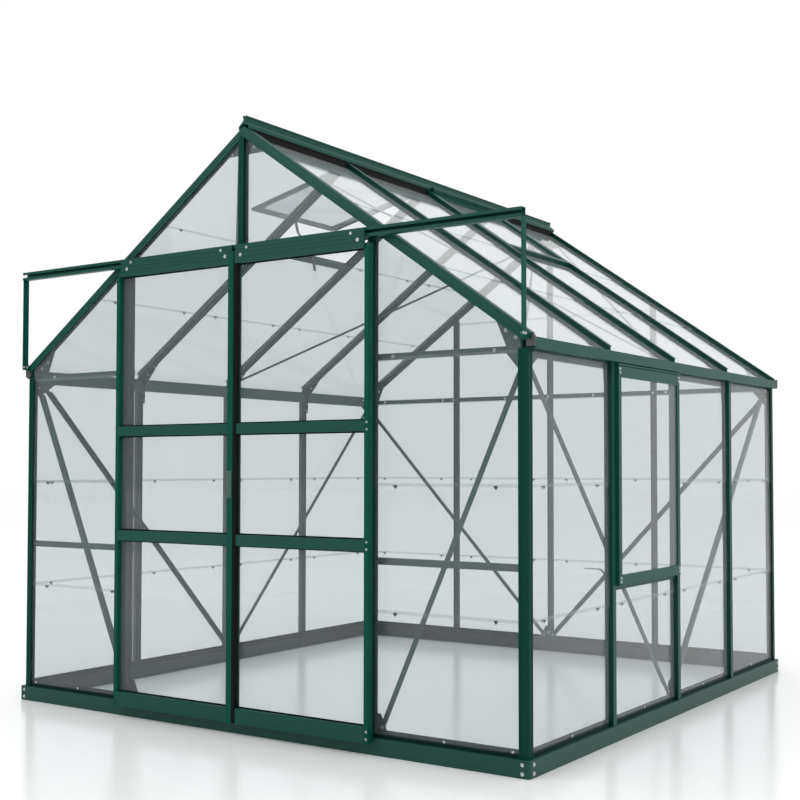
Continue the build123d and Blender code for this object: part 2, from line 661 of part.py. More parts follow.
def roof_diagonals():
    """A V under each slope, from the middle bar's foot to the ridge ends."""
    frame = Plane(origin=(0, 0, APEX), x_dir=(0, 1, 0), z_dir=NORMAL)
    eave_at = -(INNER_X - ROOF_BRACE_FOOT) / COSP
    ridge_at = -(RIDGE_WEB + BAR_DEPTH * SINP) / COSP
    corner = INNER_Y - ROOF_BRACE_HEAD
    pieces = []
    for sign in (-1, 1):
        foot = (MIDDLE_Y + sign * BRACE_FOOT, eave_at)
        sheet = extrude(strap(foot, (sign * corner, ridge_at), BRACE_WIDE), PLATE)
        pieces.append(frame.location * (Pos(0, 0, -BAR_DEPTH - PLATE) * sheet))
    return both_sides(pieces)


def knee_brackets():
    """Plates beside the bolt channels in the corner of wall bar and roof bar."""
    outer = INNER_X + KNEE_HOLD
    near = INNER_X - KNEE_CLEAR
    far = INNER_X - KNEE_REACH
    depth = BAR_DEPTH - KNEE_HOLD
    low = EAVE_HEIGHT - KNEE_DROP
    high = EAVE_HEIGHT - KNEE_CLEAR
    shape = outline([(outer, low), (outer, high), (near, high), (near, roof_z(near, depth)),
                     (far, roof_z(far, depth)), (far, roof_z(far, depth) - KNEE_EDGE),
                     (INNER_X - KNEE_EDGE, EAVE_HEIGHT), (INNER_X - KNEE_HOLD, low)])
    side = CHANNEL_WIDE / 2
    return both_sides([along_y(shape, y + side, y + side + PLATE) for y in BAR_LINES_Y])


# Glass

SIDE_GLASS = Plane(origin=(GLASS_X - GLASS, 0, 0), x_dir=(0, 1, 0), z_dir=(1, 0, 0))
END_GLASS = Plane(origin=(0, -GLASS_Y + GLASS, 0), x_dir=(1, 0, 0), z_dir=(0, -1, 0))
ROOF_GLASS = Plane(origin=(-SEAT_DEPTH * SINP, 0, APEX - SEAT_DEPTH * COSP), x_dir=(0, 1, 0), z_dir=NORMAL)
ROW_TALL = (EAVE_HEIGHT - BASE_TALL) / WALL_ROWS
WALL_FOOT = BASE_TALL + SILL_TUBE_TALL + SEAT_GAP
WALL_HEAD = EAVE_HEIGHT - EDGE_GAP
WALL_LEVELS = [WALL_FOOT] + [BASE_TALL + ROW_TALL * i for i in range(1, WALL_ROWS)] + [WALL_HEAD]
WINDOW_FOOT = WINDOW_BOTTOM - WINDOW_SILL


def pane(plane, points, flat):
    """A pane with its head on the seat; unless flat, its foot leans out over the one below."""
    low = min(point[1] for point in points)
    high = max(point[1] for point in points)
    lean = 0 if flat else degrees(asin((GLASS + LAP_GAP) / (high - low)))
    sheet = extrude(outline([(point[0], point[1] - high) for point in points]), GLASS)
    return plane.location * (Pos(0, high, SEAT_GAP) * Rot(-lean, 0, 0) * sheet)


def rows(plane, a0, a1, levels):
    """Lapped panes between two edges, one for each pair of levels."""
    panes = [pane(plane, [(a0, levels[0]), (a1, levels[0]), (a1, levels[1]), (a0, levels[1])], True)]
    for level, high in zip(levels[1:], levels[2:]):
        low = level - LAP
        panes.append(pane(plane, [(a0, low), (a1, low), (a1, high), (a0, high)], False))
    return panes


def bay_edges(lines, end):
    """Glass edges of each bay, between bar stems and the end posts."""
    gap = STEM_WIDE / 2 + EDGE_GAP
    starts = [-end] + [line + gap for line in lines]
    stops = [line - gap for line in lines] + [end]
    return list(zip(starts, stops))


SIDE_BAYS = bay_edges(BAR_LINES_Y, INNER_Y - POST_GAP)
BACK_BAYS = bay_edges(BAR_LINES_X, INNER_X - POST_GAP)
FRONT_BAYS = bay_edges([-DOOR_POST, 0, DOOR_POST], INNER_X - POST_GAP)


def side_wall_glass(window):
    """Glass of the right wall, stopping under the window in its bay."""
    panes = []
    for number, (a0, a1) in enumerate(SIDE_BAYS):
        levels = WALL_LEVELS
        if window and number == WINDOW_BAY:
            levels = [level for level in WALL_LEVELS if level < WINDOW_FOOT - LAP] + [WINDOW_FOOT - LAP_GAP]
        panes += rows(SIDE_GLASS, a0, a1, levels)
    return panes


def gable_head(a0, a1, foot, flat=False):
    """A pane under the rafter, with its head cut to the slope."""
    depth = RAFTER_CORE + POST_GAP
    head = [(a1, roof_z(a1, depth)), (a0, roof_z(a0, depth))]
    return pane(END_GLASS, [(a0, foot), (a1, foot)] + head, flat) - ridge_pocket(POST_GAP)


def back_gable_glass():
    panes = []
    for a0, a1 in BACK_BAYS:
        outer = max(abs(a0), abs(a1)) > BAR_LINES_X[-1]
        levels = WALL_LEVELS if outer else WALL_LEVELS + [EAVE_HEIGHT + ROW_TALL]
        panes += rows(END_GLASS, a0, a1, levels)
        panes.append(gable_head(a0, a1, levels[-1] - LAP))
    return back_of(panes)


def front_gable_glass():
    """Panels beside the doorway, and the two panes above the header."""
    panes = []
    for a0, a1 in FRONT_BAYS:
        if max(abs(a0), abs(a1)) > DOOR_POST:
            panes += rows(END_GLASS, a0, a1, WALL_LEVELS)
            panes.append(gable_head(a0, a1, WALL_HEAD - LAP))
        else:
            panes.append(gable_head(a0, a1, TRACK_HEIGHT + TRACK_TALL / 2, True))
    return panes


ROOF_EAVE_X = FACE_X + ROOF_OVERHANG
SILL_START = VENT_END - VENT_UPSTAND_SET


def slope_at(x):
    """Place along the slope, below zero, of a point of the glass seat at x."""
    return -(x + SEAT_DEPTH * SINP) / COSP


def roof_glass(vent_bay):
    """Glass of the right slope, stopping at the sill in the vent's bay."""
    laps = [slope_at(ROOF_EAVE_X * share) for share in ROOF_LAP_SHARES]
    levels = [slope_at(ROOF_EAVE_X)] + laps + [slope_at(RIDGE_WEB / 2 + EDGE_GAP)]
    sill = -SILL_START - VENT_UPSTAND - POST_GAP
    panes = []
    for number, (a0, a1) in enumerate(SIDE_BAYS):
        under_vent = [level for level in levels if level < sill - LAP] + [sill]
        panes += rows(ROOF_GLASS, a0, a1, under_vent if number == vent_bay else levels)
    return panes


# Roof vents and side window

FRAME_WIDE = BAY_DEEP - CAP_WIDE - 2 * VENT_CLEAR
HINGE_X = RIDGE_CAP_WIDE / 2 + HINGE_GAP + HINGE_RADIUS
HINGE_Z = RIDGE_CAP_LOW + HINGE_RISE
HINGE_S = HINGE_X * COSP - (HINGE_Z - APEX) * SINP
HINGE_N = HINGE_X * SINP + (HINGE_Z - APEX) * COSP
VENT_FACE = -HINGE_N
VENT_UNDER = VENT_FACE - VENT_THICK
VENT_HEAD = HINGE_S - VENT_START
VENT_FOOT = HINGE_S - VENT_END
VENT_Y = BAY_DEEP * (VENT_BAY - BAYS_DEEP / 2) + BAY_DEEP / 2
WINDOW_Y = BAY_DEEP * (WINDOW_BAY - BAYS_DEEP / 2) + BAY_DEEP / 2


def vent_place(opening):
    """Place of the right vent: Y up the vent, Z out of it, at the hinge."""
    angle = radians(PITCH - opening)
    out = (sin(angle), 0, cos(angle))
    return Plane(origin=(HINGE_X, VENT_Y, HINGE_Z), x_dir=(0, 1, 0), z_dir=out).location


def vent_frame(opening):
    """A frame with side skirts, hung from a rolled hinge bead along the ridge."""
    half = FRAME_WIDE / 2
    light = half - VENT_RAIL
    ring = block(-half, half, VENT_FOOT, VENT_HEAD, VENT_UNDER, VENT_FACE)
    ring -= block(-light, light, VENT_FOOT + VENT_RAIL, VENT_HEAD - VENT_RAIL, VENT_UNDER, VENT_FACE)
    skirt = block(half - VENT_SKIRT_WALL, half, VENT_FOOT + VENT_SKIRT_SET, VENT_HEAD - VENT_SKIRT_SET,
                  VENT_UNDER - VENT_SKIRT, VENT_UNDER)
    ring += skirt + mirror(skirt, about=Plane.YZ)
    roll = along_x(Circle(HINGE_RADIUS), -half, half)
    leaf = block(-half, half, VENT_HEAD - HINGE_LEAF, 0, -HINGE_LEAF / 2, HINGE_LEAF / 2)
    drop = block(-half, half, VENT_HEAD - HINGE_LEAF, VENT_HEAD, VENT_FACE, HINGE_LEAF / 2)
    return vent_place(opening) * (ring + leaf + drop + roll)


def vent_glass(opening):
    """The pane under the rails of a vent."""
    cover = VENT_RAIL - VENT_COVER
    half = FRAME_WIDE / 2 - cover
    sheet = block(-half, half, VENT_FOOT + cover, VENT_HEAD - cover, VENT_UNDER - GLASS, VENT_UNDER)
    return vent_place(opening) * sheet


def opening_sills():
    """Cross bars below each vent, with an upstand, and under the side window."""
    half = BAY_DEEP / 2 - FLANGE_WIDE / 2
    body = block(-half, half, -SILL_START - VENT_SILL, -SILL_START, -BAR_DEPTH, -SEAT_DEPTH)
    body += block(-half, half, -SILL_START - VENT_UPSTAND, -SILL_START, -SEAT_DEPTH, -VENT_THICK)
    right = Plane(origin=(0, VENT_Y, APEX), x_dir=(0, 1, 0), z_dir=NORMAL).location * body
    left = left_of(back_of([right]))
    seat = GLASS_X - GLASS
    window = block(seat - FLANGE_THICK, seat + WINDOW_SILL_DEEP, WINDOW_Y - half, WINDOW_Y + half,
                   WINDOW_FOOT, WINDOW_BOTTOM)
    return [right] + left + [window]


WINDOW_HALF = BAY_DEEP / 2 - CAP_WIDE / 2 - WINDOW_CLEAR
WINDOW_OUT = FACE_X + WINDOW_PROUD
WINDOW_BACK = WINDOW_OUT - WINDOW_FACE


def side_window_frame():
    """A top-hung window: a broad face with a web round its edge, closed on its seats."""
    seat = GLASS_X - GLASS
    y0 = WINDOW_Y - WINDOW_HALF
    y1 = WINDOW_Y + WINDOW_HALF
    frame = block(seat, WINDOW_OUT, y0, y1, WINDOW_BOTTOM, WINDOW_TOP)
    frame -= block(seat, WINDOW_BACK, y0 + WINDOW_WEB, y1 - WINDOW_WEB, WINDOW_BOTTOM + WINDOW_WEB,
                   WINDOW_TOP - WINDOW_WEB)
    frame -= block(seat, WINDOW_OUT, y0 + WINDOW_STILE, y1 - WINDOW_STILE, WINDOW_BOTTOM + WINDOW_LOW_RAIL,
                   WINDOW_TOP - WINDOW_TOP_RAIL)
    return [frame]


def side_window_glass():
    half = WINDOW_HALF - WINDOW_STILE + WINDOW_COVER
    low = WINDOW_BOTTOM + WINDOW_LOW_RAIL - WINDOW_COVER
    high = WINDOW_TOP - WINDOW_TOP_RAIL + WINDOW_COVER
    return [block(WINDOW_BACK - GLASS, WINDOW_BACK, WINDOW_Y - half, WINDOW_Y + half, low, high)]


def stay(points, y):
    """A bent ribbon through points in X and Z, about a place along Y."""
    line = FilletPolyline(*points, radius=STAY_BEND)
    return along_y(trace(line, STAY_THICK), y - STAY_WIDE / 2, y + STAY_WIDE / 2)


def casement_stays():
    """A stay hanging from each vent, and one lying inside the side window."""
    at = SILL_START - VENT_UPSTAND / 2
    hang = on_slope(at, -VENT_THICK - LAP_GAP)
    turn = on_slope(at - STAY_THICK, -VENT_THICK - STAY_DROP)
    closed = [hang, turn, (turn[0] - STAY_RISE, turn[1] - STAY_HANG),
              (turn[0] - STAY_RISE - STAY_BEND, turn[1] - STAY_HANG - STAY_TAIL)]
    tilt = radians(PITCH - VENT_OPEN)
    reach = at - HINGE_S
    under = VENT_UNDER - LAP_GAP
    top = (HINGE_X + reach * cos(tilt) + under * sin(tilt), HINGE_Z - reach * sin(tilt) + under * cos(tilt))
    through = on_slope(SILL_START - STAY_SET, -SEAT_DEPTH)
    knuckle = (top[0] - STAY_BEND, top[1] + (through[1] - top[1]) * STAY_KNUCKLE_SHARE)
    opened = [top, knuckle, through, (through[0] - STAY_BEND, through[1] - STAY_TAIL)]
    level = WINDOW_BOTTOM + STAY_LEVEL
    far = WINDOW_BACK - STAY_LONG
    inside = [(WINDOW_BACK, level), (far + STAY_TAIL + STAY_BEND, level),
              (far + STAY_TAIL - STAY_BEND, level + STAY_RISE), (far, level + STAY_RISE)]
    left = left_of([stay(opened, -VENT_Y)])
    return [stay(closed, VENT_Y), stay(inside, WINDOW_Y)] + left


# Sliding doors

DOOR_FACE = -FACE_Y - DOOR_FRONT
DOOR_BACK = DOOR_FACE + DOOR_DEEP
DOOR_EDGE = DOOR_POST + DOOR_LAP
PANE_FRONT = DOOR_FACE + PANE_SET + GROOVE_PLAY
TRACK_FACE = -FACE_Y - TRACK_DEEP
TRACK_MIDDLE = TRACK_HEIGHT + TRACK_TALL / 2
FASCIA_BACK = DOOR_FACE + FASCIA_THICK

# A leaf's meeting edge, meeting stile, fascia end and the stile's rise up the fascia
Leaf = namedtuple("Leaf", "start wide fascia rise")
LEFT_LEAF = Leaf(MEETING_GAP / 2 - MEETING_SHIFT, LEFT_MEETING, LEFT_FASCIA, MEETING_RISE)
RIGHT_START = MEETING_GAP / 2 + MEETING_SHIFT
RIGHT_LEAF = Leaf(RIGHT_START, RIGHT_MEETING, RIGHT_START, 0)


def door_track():
    """A slotted channel across the front gable that the rollers run in."""
    top = TRACK_HEIGHT + TRACK_TALL
    slot = TRACK_SLOT / 2
    channel = patch(TRACK_FACE, -FACE_Y, TRACK_HEIGHT, top)
    channel -= patch(TRACK_FACE + TRACK_SHEET, -FACE_Y - TRACK_SHEET, TRACK_HEIGHT + TRACK_SHEET,
                     top - TRACK_SHEET)
    channel -= patch(TRACK_FACE, TRACK_FACE + TRACK_SHEET, TRACK_MIDDLE - slot, TRACK_MIDDLE + slot)
    half = FACE_X - TRACK_SHORT
    return [along_x(channel, -half, half)]


def door_track_struts():
    """Struts that carry the track ends down to the feet of the rafters."""
    outer = FACE_X - TRACK_SHORT
    front = TRACK_FACE + TRACK_SHEET
    foot = LEDGE_TOP + STRUT_FOOT
    strut = block(outer - STRUT_WIDE, outer, front, front + STRUT_DEEP, foot, TRACK_HEIGHT)
    tab = block(outer - STRUT_WIDE, outer, front, -POST_Y, foot, foot + STRUT_TAB)
    return both_sides([strut + tab])


def stile(outer, inner):
    """A hollow stile of a leaf, with a glazing groove in its inner edge."""
    low = min(outer, inner)
    high = max(outer, inner)
    body = patch(low, high, DOOR_FACE, DOOR_BACK)
    body -= patch(low + STILE_WALL, high - STILE_WALL, DOOR_FACE + STILE_WALL,
                  DOOR_FACE + PANE_SET - STILE_WALL)
    deep = PANE_GROOVE if inner > outer else -PANE_GROOVE
    groove_back = DOOR_FACE + PANE_SET + GLASS + 2 * GROOVE_PLAY
    edge = sorted((inner, inner - deep))
    body -= patch(edge[0], edge[1], DOOR_FACE + PANE_SET, groove_back)
    return Pos(0, 0, DOOR_BOTTOM) * extrude(body, FASCIA_HEIGHT - DOOR_BOTTOM)


def door_rail(x0, x1, low, tall):
    """A hollow rail with a glazing groove in its upper and lower edge."""
    high = low + tall
    back = DOOR_FACE + PANE_SET + GLASS + 2 * GROOVE_PLAY
    body = patch(DOOR_FACE, DOOR_BACK, low, high)
    body -= patch(DOOR_FACE + RAIL_SHEET, DOOR_FACE + PANE_SET - RAIL_SHEET, low + RAIL_SHEET,
                  high - RAIL_SHEET)
    body -= patch(DOOR_FACE + PANE_SET, back, high - PANE_GROOVE, high)
    if low > DOOR_BOTTOM:
        body -= patch(DOOR_FACE + PANE_SET, back, low, low + PANE_GROOVE)
    return along_x(body, x0, x1)


def door_head(leaf):
    """Top rail and grooved fascia of a leaf; the rollers hang behind it."""
    high = FASCIA_HEIGHT + TOP_RAIL_TALL
    back = DOOR_FACE + PANE_SET + GLASS + 2 * GROOVE_PLAY
    top = patch(DOOR_FACE, DOOR_BACK, FASCIA_HEIGHT, high)
    top -= patch(DOOR_FACE + PANE_SET, back, FASCIA_HEIGHT, FASCIA_HEIGHT + PANE_GROOVE)
    board = patch(DOOR_FACE, FASCIA_BACK, FASCIA_HEIGHT, FASCIA_HEIGHT + FASCIA_TALL)
    for share in FASCIA_GROOVE_SHARES:
        level = FASCIA_HEIGHT + share * FASCIA_TALL
        board -= patch(DOOR_FACE, DOOR_FACE + FASCIA_GROOVE_DEEP, level, level + FASCIA_GROOVE)
    board_room = block(leaf.start, DOOR_EDGE, DOOR_FACE, FASCIA_BACK, FASCIA_HEIGHT, high)
    head = along_x(top, leaf.start, DOOR_EDGE) - board_room
    fascia = along_x(board, leaf.fascia, DOOR_EDGE - FASCIA_SHORT)
    if leaf.rise:
        beside = leaf.start + leaf.wide + FASCIA_PLAY
        above = FASCIA_HEIGHT + leaf.rise + FASCIA_PLAY
        fascia -= block(leaf.start, beside, DOOR_FACE, FASCIA_BACK, FASCIA_HEIGHT, above)
    return head + fascia


def door_roller(x):
    """A track wheel on its axle, held by the fascia."""
    radius = TRACK_TALL / 2 - TRACK_SHEET - ROLLER_GAP
    front = -FACE_Y - (TRACK_DEEP + ROLLER_THICK) / 2
    place = Pos(x, 0, TRACK_MIDDLE)
    wheel = place * along_y(Circle(radius), front, front + ROLLER_THICK)
    return wheel + place * along_y(Circle(AXLE / 2), FASCIA_BACK, front)


def door_stiles(leaf):
    """Both stiles of a leaf; the front of the meeting stile may run up the fascia."""
    inner = leaf.start + leaf.wide
    meeting = stile(leaf.start, inner)
    if leaf.rise:
        top = FASCIA_HEIGHT + leaf.rise
        meeting += block(leaf.start, inner, DOOR_FACE, FASCIA_BACK, FASCIA_HEIGHT, top)
    return [meeting, stile(DOOR_EDGE, DOOR_EDGE - STILE_WIDE)]


def door_rails(leaf):
    """Three rails and the head of a leaf."""
    x0 = leaf.start + leaf.wide
    x1 = DOOR_EDGE - STILE_WIDE
    bottom = door_rail(x0, x1, DOOR_BOTTOM, BOTTOM_RAIL_TALL)
    lower = door_rail(x0, x1, LOWER_RAIL_HEIGHT, LOWER_RAIL_TALL)
    upper = door_rail(x0, x1, UPPER_RAIL_HEIGHT, UPPER_RAIL_TALL)
    return [bottom, lower, upper, door_head(leaf)]


def door_glass(leaf):
    """Three panes held in the grooves of the stiles and rails."""
    hold = PANE_GROOVE - PANE_END_GAP
    x0 = leaf.start + leaf.wide - hold
    x1 = DOOR_EDGE - STILE_WIDE + hold
    lows = [DOOR_BOTTOM + BOTTOM_RAIL_TALL, LOWER_RAIL_HEIGHT + LOWER_RAIL_TALL,
            UPPER_RAIL_HEIGHT + UPPER_RAIL_TALL]
    highs = [LOWER_RAIL_HEIGHT, UPPER_RAIL_HEIGHT, FASCIA_HEIGHT]
    back = PANE_FRONT + GLASS
    return [block(x0, x1, PANE_FRONT, back, low - hold, high + hold) for low, high in zip(lows, highs)]


def door_rollers():
    return [door_roller(ROLLER_FIRST), door_roller(DOOR_EDGE - FASCIA_SHORT - ROLLER_INSET)]


def door_handle():
    """A rounded pull plate on the left leaf's meeting stile."""
    plate = block(-HANDLE_WIDE, 0, DOOR_FACE - HANDLE_THICK, DOOR_FACE, HANDLE_HEIGHT,
                  HANDLE_HEIGHT + HANDLE_TALL)
    return [fillet(plate.faces().sort_by(Axis.Y)[0].edges(), HANDLE_ROUND)]


# Assembly

def node_pieces():
    """Every node's name with its solids, in the building's own frame."""
    middle_bar = gable_bar(0, TRACK_HEIGHT + HEADER_TALL)
    side_rails, end_rails = base_rails()
    return {
        "base_side_rails": side_rails,
        "base_end_rails": end_rails,
        "base_corner_pieces": base_corner_pieces(),
        "wall_sills": wall_sills(),
        "corner_posts": corner_posts(),
        "side_wall_bars": side_wall_bars(),
        "back_gable_bars": back_of([gable_bar(x, BASE_TALL) for x in BAR_LINES_X]),
        "front_gable_bars": both_sides([gable_bar(DOOR_POST, BASE_TALL)]) + [middle_bar],
        "door_header": door_header(),
        "eaves_gutters": eaves_gutters(),
        "gutter_end_caps": gutter_end_caps(),
        "ridge_beam": ridge_beam(),
        "gable_rafters": gable_rafters(),
        "roof_bars": roof_bars(),
        "gusset_plates": gusset_plates(),
        "foot_plates": foot_plates(),
        "gable_ties": gable_ties(),
        "end_wall_diagonals": end_wall_diagonals(),
        "side_wall_diagonals": side_wall_diagonals(),
        "roof_diagonals": roof_diagonals(),
        "knee_brackets": knee_brackets(),
        "door_track": door_track(),
        "door_track_struts": door_track_struts(),
        "opening_sills": opening_sills(),
        "left_wall_glass": left_of(side_wall_glass(False)),
        "right_wall_glass": side_wall_glass(True),
        "back_gable_glass": back_gable_glass(),
        "front_gable_glass": front_gable_glass(),
        "left_roof_glass": left_of(back_of(roof_glass(VENT_BAY))),
        "right_roof_glass": roof_glass(VENT_BAY),
        "left_vent_frame": left_of(back_of([vent_frame(VENT_OPEN)])),
        "left_vent_glass": left_of(back_of([vent_glass(VENT_OPEN)])),
        "right_vent_frame": [vent_frame(0)],
        "right_vent_glass": [vent_glass(0)],
        "side_window_frame": side_window_frame(),
        "side_window_glass": side_window_glass(),
        "casement_stays": casement_stays(),
        "left_door_stiles": left_of(door_stiles(LEFT_LEAF)),
        "left_door_rails": left_of(door_rails(LEFT_LEAF)),
        "left_door_glass": left_of(door_glass(LEFT_LEAF)),
        "left_door_rollers": left_of(door_rollers()),
        "left_door_handle": door_handle(),
        "right_door_stiles": door_stiles(RIGHT_LEAF),
        "right_door_rails": door_rails(RIGHT_LEAF),
        "right_door_glass": door_glass(RIGHT_LEAF),
        "right_door_rollers": door_rollers(),
    }


os.makedirs("parts", exist_ok=True)
for name, pieces in node_pieces().items():
    placed = [Pos(0, CENTRE_SHIFT, 0) * solid for piece in pieces for solid in piece.solids()]
    export_step(Compound(children=placed), f"parts/{name}.step")
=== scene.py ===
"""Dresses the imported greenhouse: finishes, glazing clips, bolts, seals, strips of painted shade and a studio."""
from __future__ import annotations

import json
import logging
import math
from dataclasses import dataclass
from enum import Enum

import bpy
from mathutils import Matrix, Vector

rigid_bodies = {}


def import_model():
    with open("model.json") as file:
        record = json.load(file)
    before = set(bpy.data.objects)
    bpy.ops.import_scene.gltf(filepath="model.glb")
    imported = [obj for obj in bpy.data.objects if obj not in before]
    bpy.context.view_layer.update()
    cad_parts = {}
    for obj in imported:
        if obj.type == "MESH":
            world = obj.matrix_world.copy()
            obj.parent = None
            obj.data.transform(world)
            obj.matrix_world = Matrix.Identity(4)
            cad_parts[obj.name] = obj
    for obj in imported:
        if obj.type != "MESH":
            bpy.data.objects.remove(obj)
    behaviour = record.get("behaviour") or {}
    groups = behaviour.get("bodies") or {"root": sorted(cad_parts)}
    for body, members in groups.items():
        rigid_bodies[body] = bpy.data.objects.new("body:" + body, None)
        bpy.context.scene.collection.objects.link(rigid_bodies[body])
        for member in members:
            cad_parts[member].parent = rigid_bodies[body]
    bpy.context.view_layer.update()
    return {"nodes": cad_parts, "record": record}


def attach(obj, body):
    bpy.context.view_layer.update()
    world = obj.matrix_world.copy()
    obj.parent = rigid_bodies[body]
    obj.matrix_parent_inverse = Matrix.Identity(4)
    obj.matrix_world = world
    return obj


LOG = logging.getLogger("greenhouse")
MM = 0.001
SHIFT_Y = 20.5
RIGHT = Vector((1.0, 0.0, 0.0))
BACK = Vector((0.0, 1.0, 0.0))
UP = Vector((0.0, 0.0, 1.0))

Colour = tuple[float, float, float]
Point = tuple[float, float, float]


def srgb(red: int, green: int, blue: int) -> Colour:
    """Turns a display colour into linear light.

    Args:
        red: Red from 0 to 255.
        green: Green from 0 to 255.
        blue: Blue from 0 to 255.

    Returns:
        The colour in linear light.
    """
    def linear(value: int) -> float:
        """One channel in linear light."""
        share = value / 255
        return share / 12.92 if share <= 0.04045 else ((share + 0.055) / 1.055) ** 2.4

    return linear(red), linear(green), linear(blue)


class Body(Enum):
    """The rigid bodies of the part."""

    HOUSE = "house"
    LEFT_DOOR = "left_door"
    RIGHT_DOOR = "right_door"


class Slot(Enum):
    """The material slots of the record."""

    FRAME = "frame_green"
    BASE = "base_green"
    GLASS = "glass"
    CAP = "cap_grey"
    STAY = "stay_alloy"
    ROLLER = "roller_nylon"
    HANDLE = "handle_grey"


@dataclass(frozen=True)
class Finish:
    """A surface finish with a fine grain in its gloss and height.

    Attributes:
        name: Name of the material.
        colour: Base colour in linear light.
        roughness: Mean roughness.
        metallic: Share of metal.
        grain: Size of the grain in features per metre.
        relief: Height of the grain in metres.
        drift: How far the roughness drifts to each side.
        gloss: Strength of the mirrored light, 0.5 being that of plain paint.
    """

    name: str
    colour: Colour
    roughness: float
    metallic: float = 0.0
    grain: float = 900.0
    relief: float = 0.00002
    drift: float = 0.06
    gloss: float = 0.5

    def material(self) -> bpy.types.Material:
        """Builds the material.

        Returns:
            The new material.
        """
        made = bpy.data.materials.new(self.name)
        made.use_nodes = True
        tree = made.node_tree
        shader = tree.nodes["Principled BSDF"]
        shader.inputs["Base Color"].default_value = (*self.colour, 1.0)
        shader.inputs["Metallic"].default_value = self.metallic
        shader.inputs["Specular IOR Level"].default_value = self.gloss
        place = tree.nodes.new("ShaderNodeTexCoord")
        noise = tree.nodes.new("ShaderNodeTexNoise")
        noise.inputs["Scale"].default_value = self.grain
        noise.inputs["Detail"].default_value = 2.0
        tree.links.new(place.outputs["Object"], noise.inputs["Vector"])
        spread = tree.nodes.new("ShaderNodeMapRange")
        spread.inputs["To Min"].default_value = self.roughness - self.drift
        spread.inputs["To Max"].default_value = self.roughness + self.drift
        tree.links.new(noise.outputs["Fac"], spread.inputs["Value"])
        tree.links.new(spread.outputs["Result"], shader.inputs["Roughness"])
        bump = tree.nodes.new("ShaderNodeBump")
        bump.inputs["Strength"].default_value = 0.25
        bump.inputs["Distance"].default_value = self.relief
        tree.links.new(noise.outputs["Fac"], bump.inputs["Height"])
        tree.links.new(bump.outputs["Normal"], shader.inputs["Normal"])
        return made


@dataclass(frozen=True)
class PaneGlass:
    """Clear glass that turns denser towards grazing angles, its colour whitening there as painted reflection.

    Attributes:
        name: Name of the material.
        colour: Veil over what lies behind, seen square on, in linear light.
        painted_reflection: The same at a grazing angle, whitened as painted reflection of the white surroundings.
        tint: Share of each colour that one face lets through.
        face: How dense the pane is seen square on.
        edge: How dense it is seen at a grazing angle.
        power: How late the density rises towards the edge-on view.
        shade: How much of the light one face keeps back.
    """

    name: str
    colour: Colour
    painted_reflection: Colour
    tint: Colour
    face: float
    edge: float
    power: float
    shade: float

    def material(self) -> bpy.types.Material:
        """Builds the material.

        Returns:
            The new material.
        """
        made = bpy.data.materials.new(self.name)
        made.use_nodes = True
        tree = made.node_tree
        shader = tree.nodes["Principled BSDF"]
        shader.inputs["Roughness"].default_value = 0.03
        shader.inputs["Coat Weight"].default_value = 1.0
        shader.inputs["Coat Roughness"].default_value = 0.02
        weight = tree.nodes.new("ShaderNodeLayerWeight")
        weight.inputs["Blend"].default_value = 0.5
        steep = tree.nodes.new("ShaderNodeMath")
        steep.operation = "POWER"
        steep.inputs[1].default_value = self.power
        tree.links.new(weight.outputs["Facing"], steep.inputs[0])
        dense = tree.nodes.new("ShaderNodeMapRange")
        dense.inputs["To Min"].default_value = self.face
        dense.inputs["To Max"].default_value = self.edge
        tree.links.new(steep.outputs["Value"], dense.inputs["Value"])
        # the pane's colour whitens towards grazing angles: painted reflection
        veil_and_reflection = tree.nodes.new("ShaderNodeMix")
        veil_and_reflection.data_type = "RGBA"
        veil_and_reflection.inputs["A"].default_value = (*self.colour, 1.0)
        veil_and_reflection.inputs["B"].default_value = (*self.painted_reflection, 1.0)
        tree.links.new(steep.outputs["Value"], veil_and_reflection.inputs["Factor"])
        tree.links.new(veil_and_reflection.outputs["Result"], shader.inputs["Base Color"])
        clear = tree.nodes.new("ShaderNodeBsdfTransparent")
        clear.inputs["Color"].default_value = (*self.tint, 1.0)
        path = tree.nodes.new("ShaderNodeLightPath")
        shade = tree.nodes.new("ShaderNodeMix")
        shade.inputs["B"].default_value = self.shade
        tree.links.new(path.outputs["Is Shadow Ray"], shade.inputs["Factor"])
        tree.links.new(dense.outputs["Result"], shade.inputs["A"])
        blend = tree.nodes.new("ShaderNodeMixShader")
        tree.links.new(shade.outputs["Result"], blend.inputs[0])
        tree.links.new(clear.outputs["BSDF"], blend.inputs[1])
        tree.links.new(shader.outputs["BSDF"], blend.inputs[2])
        tree.links.new(blend.outputs["Shader"], tree.nodes["Material Output"].inputs["Surface"])
        return made


FRAME_PAINT = Finish("frame_powder_coat", srgb(8, 66, 57), 0.4, gloss=0.2)
# a copy of the frame paint that mirrors less light, so the uprights read darker: painted shade
UPRIGHT_SHADED_PAINT = Finish("upright_powder_coat_shaded", srgb(6, 68, 57), 0.36, gloss=0.07)
# a darker copy of the frame paint for the posts: painted shade
POST_SHADED_PAINT = Finish("post_powder_coat_shaded", srgb(4, 54, 45), 0.34, gloss=0.06)
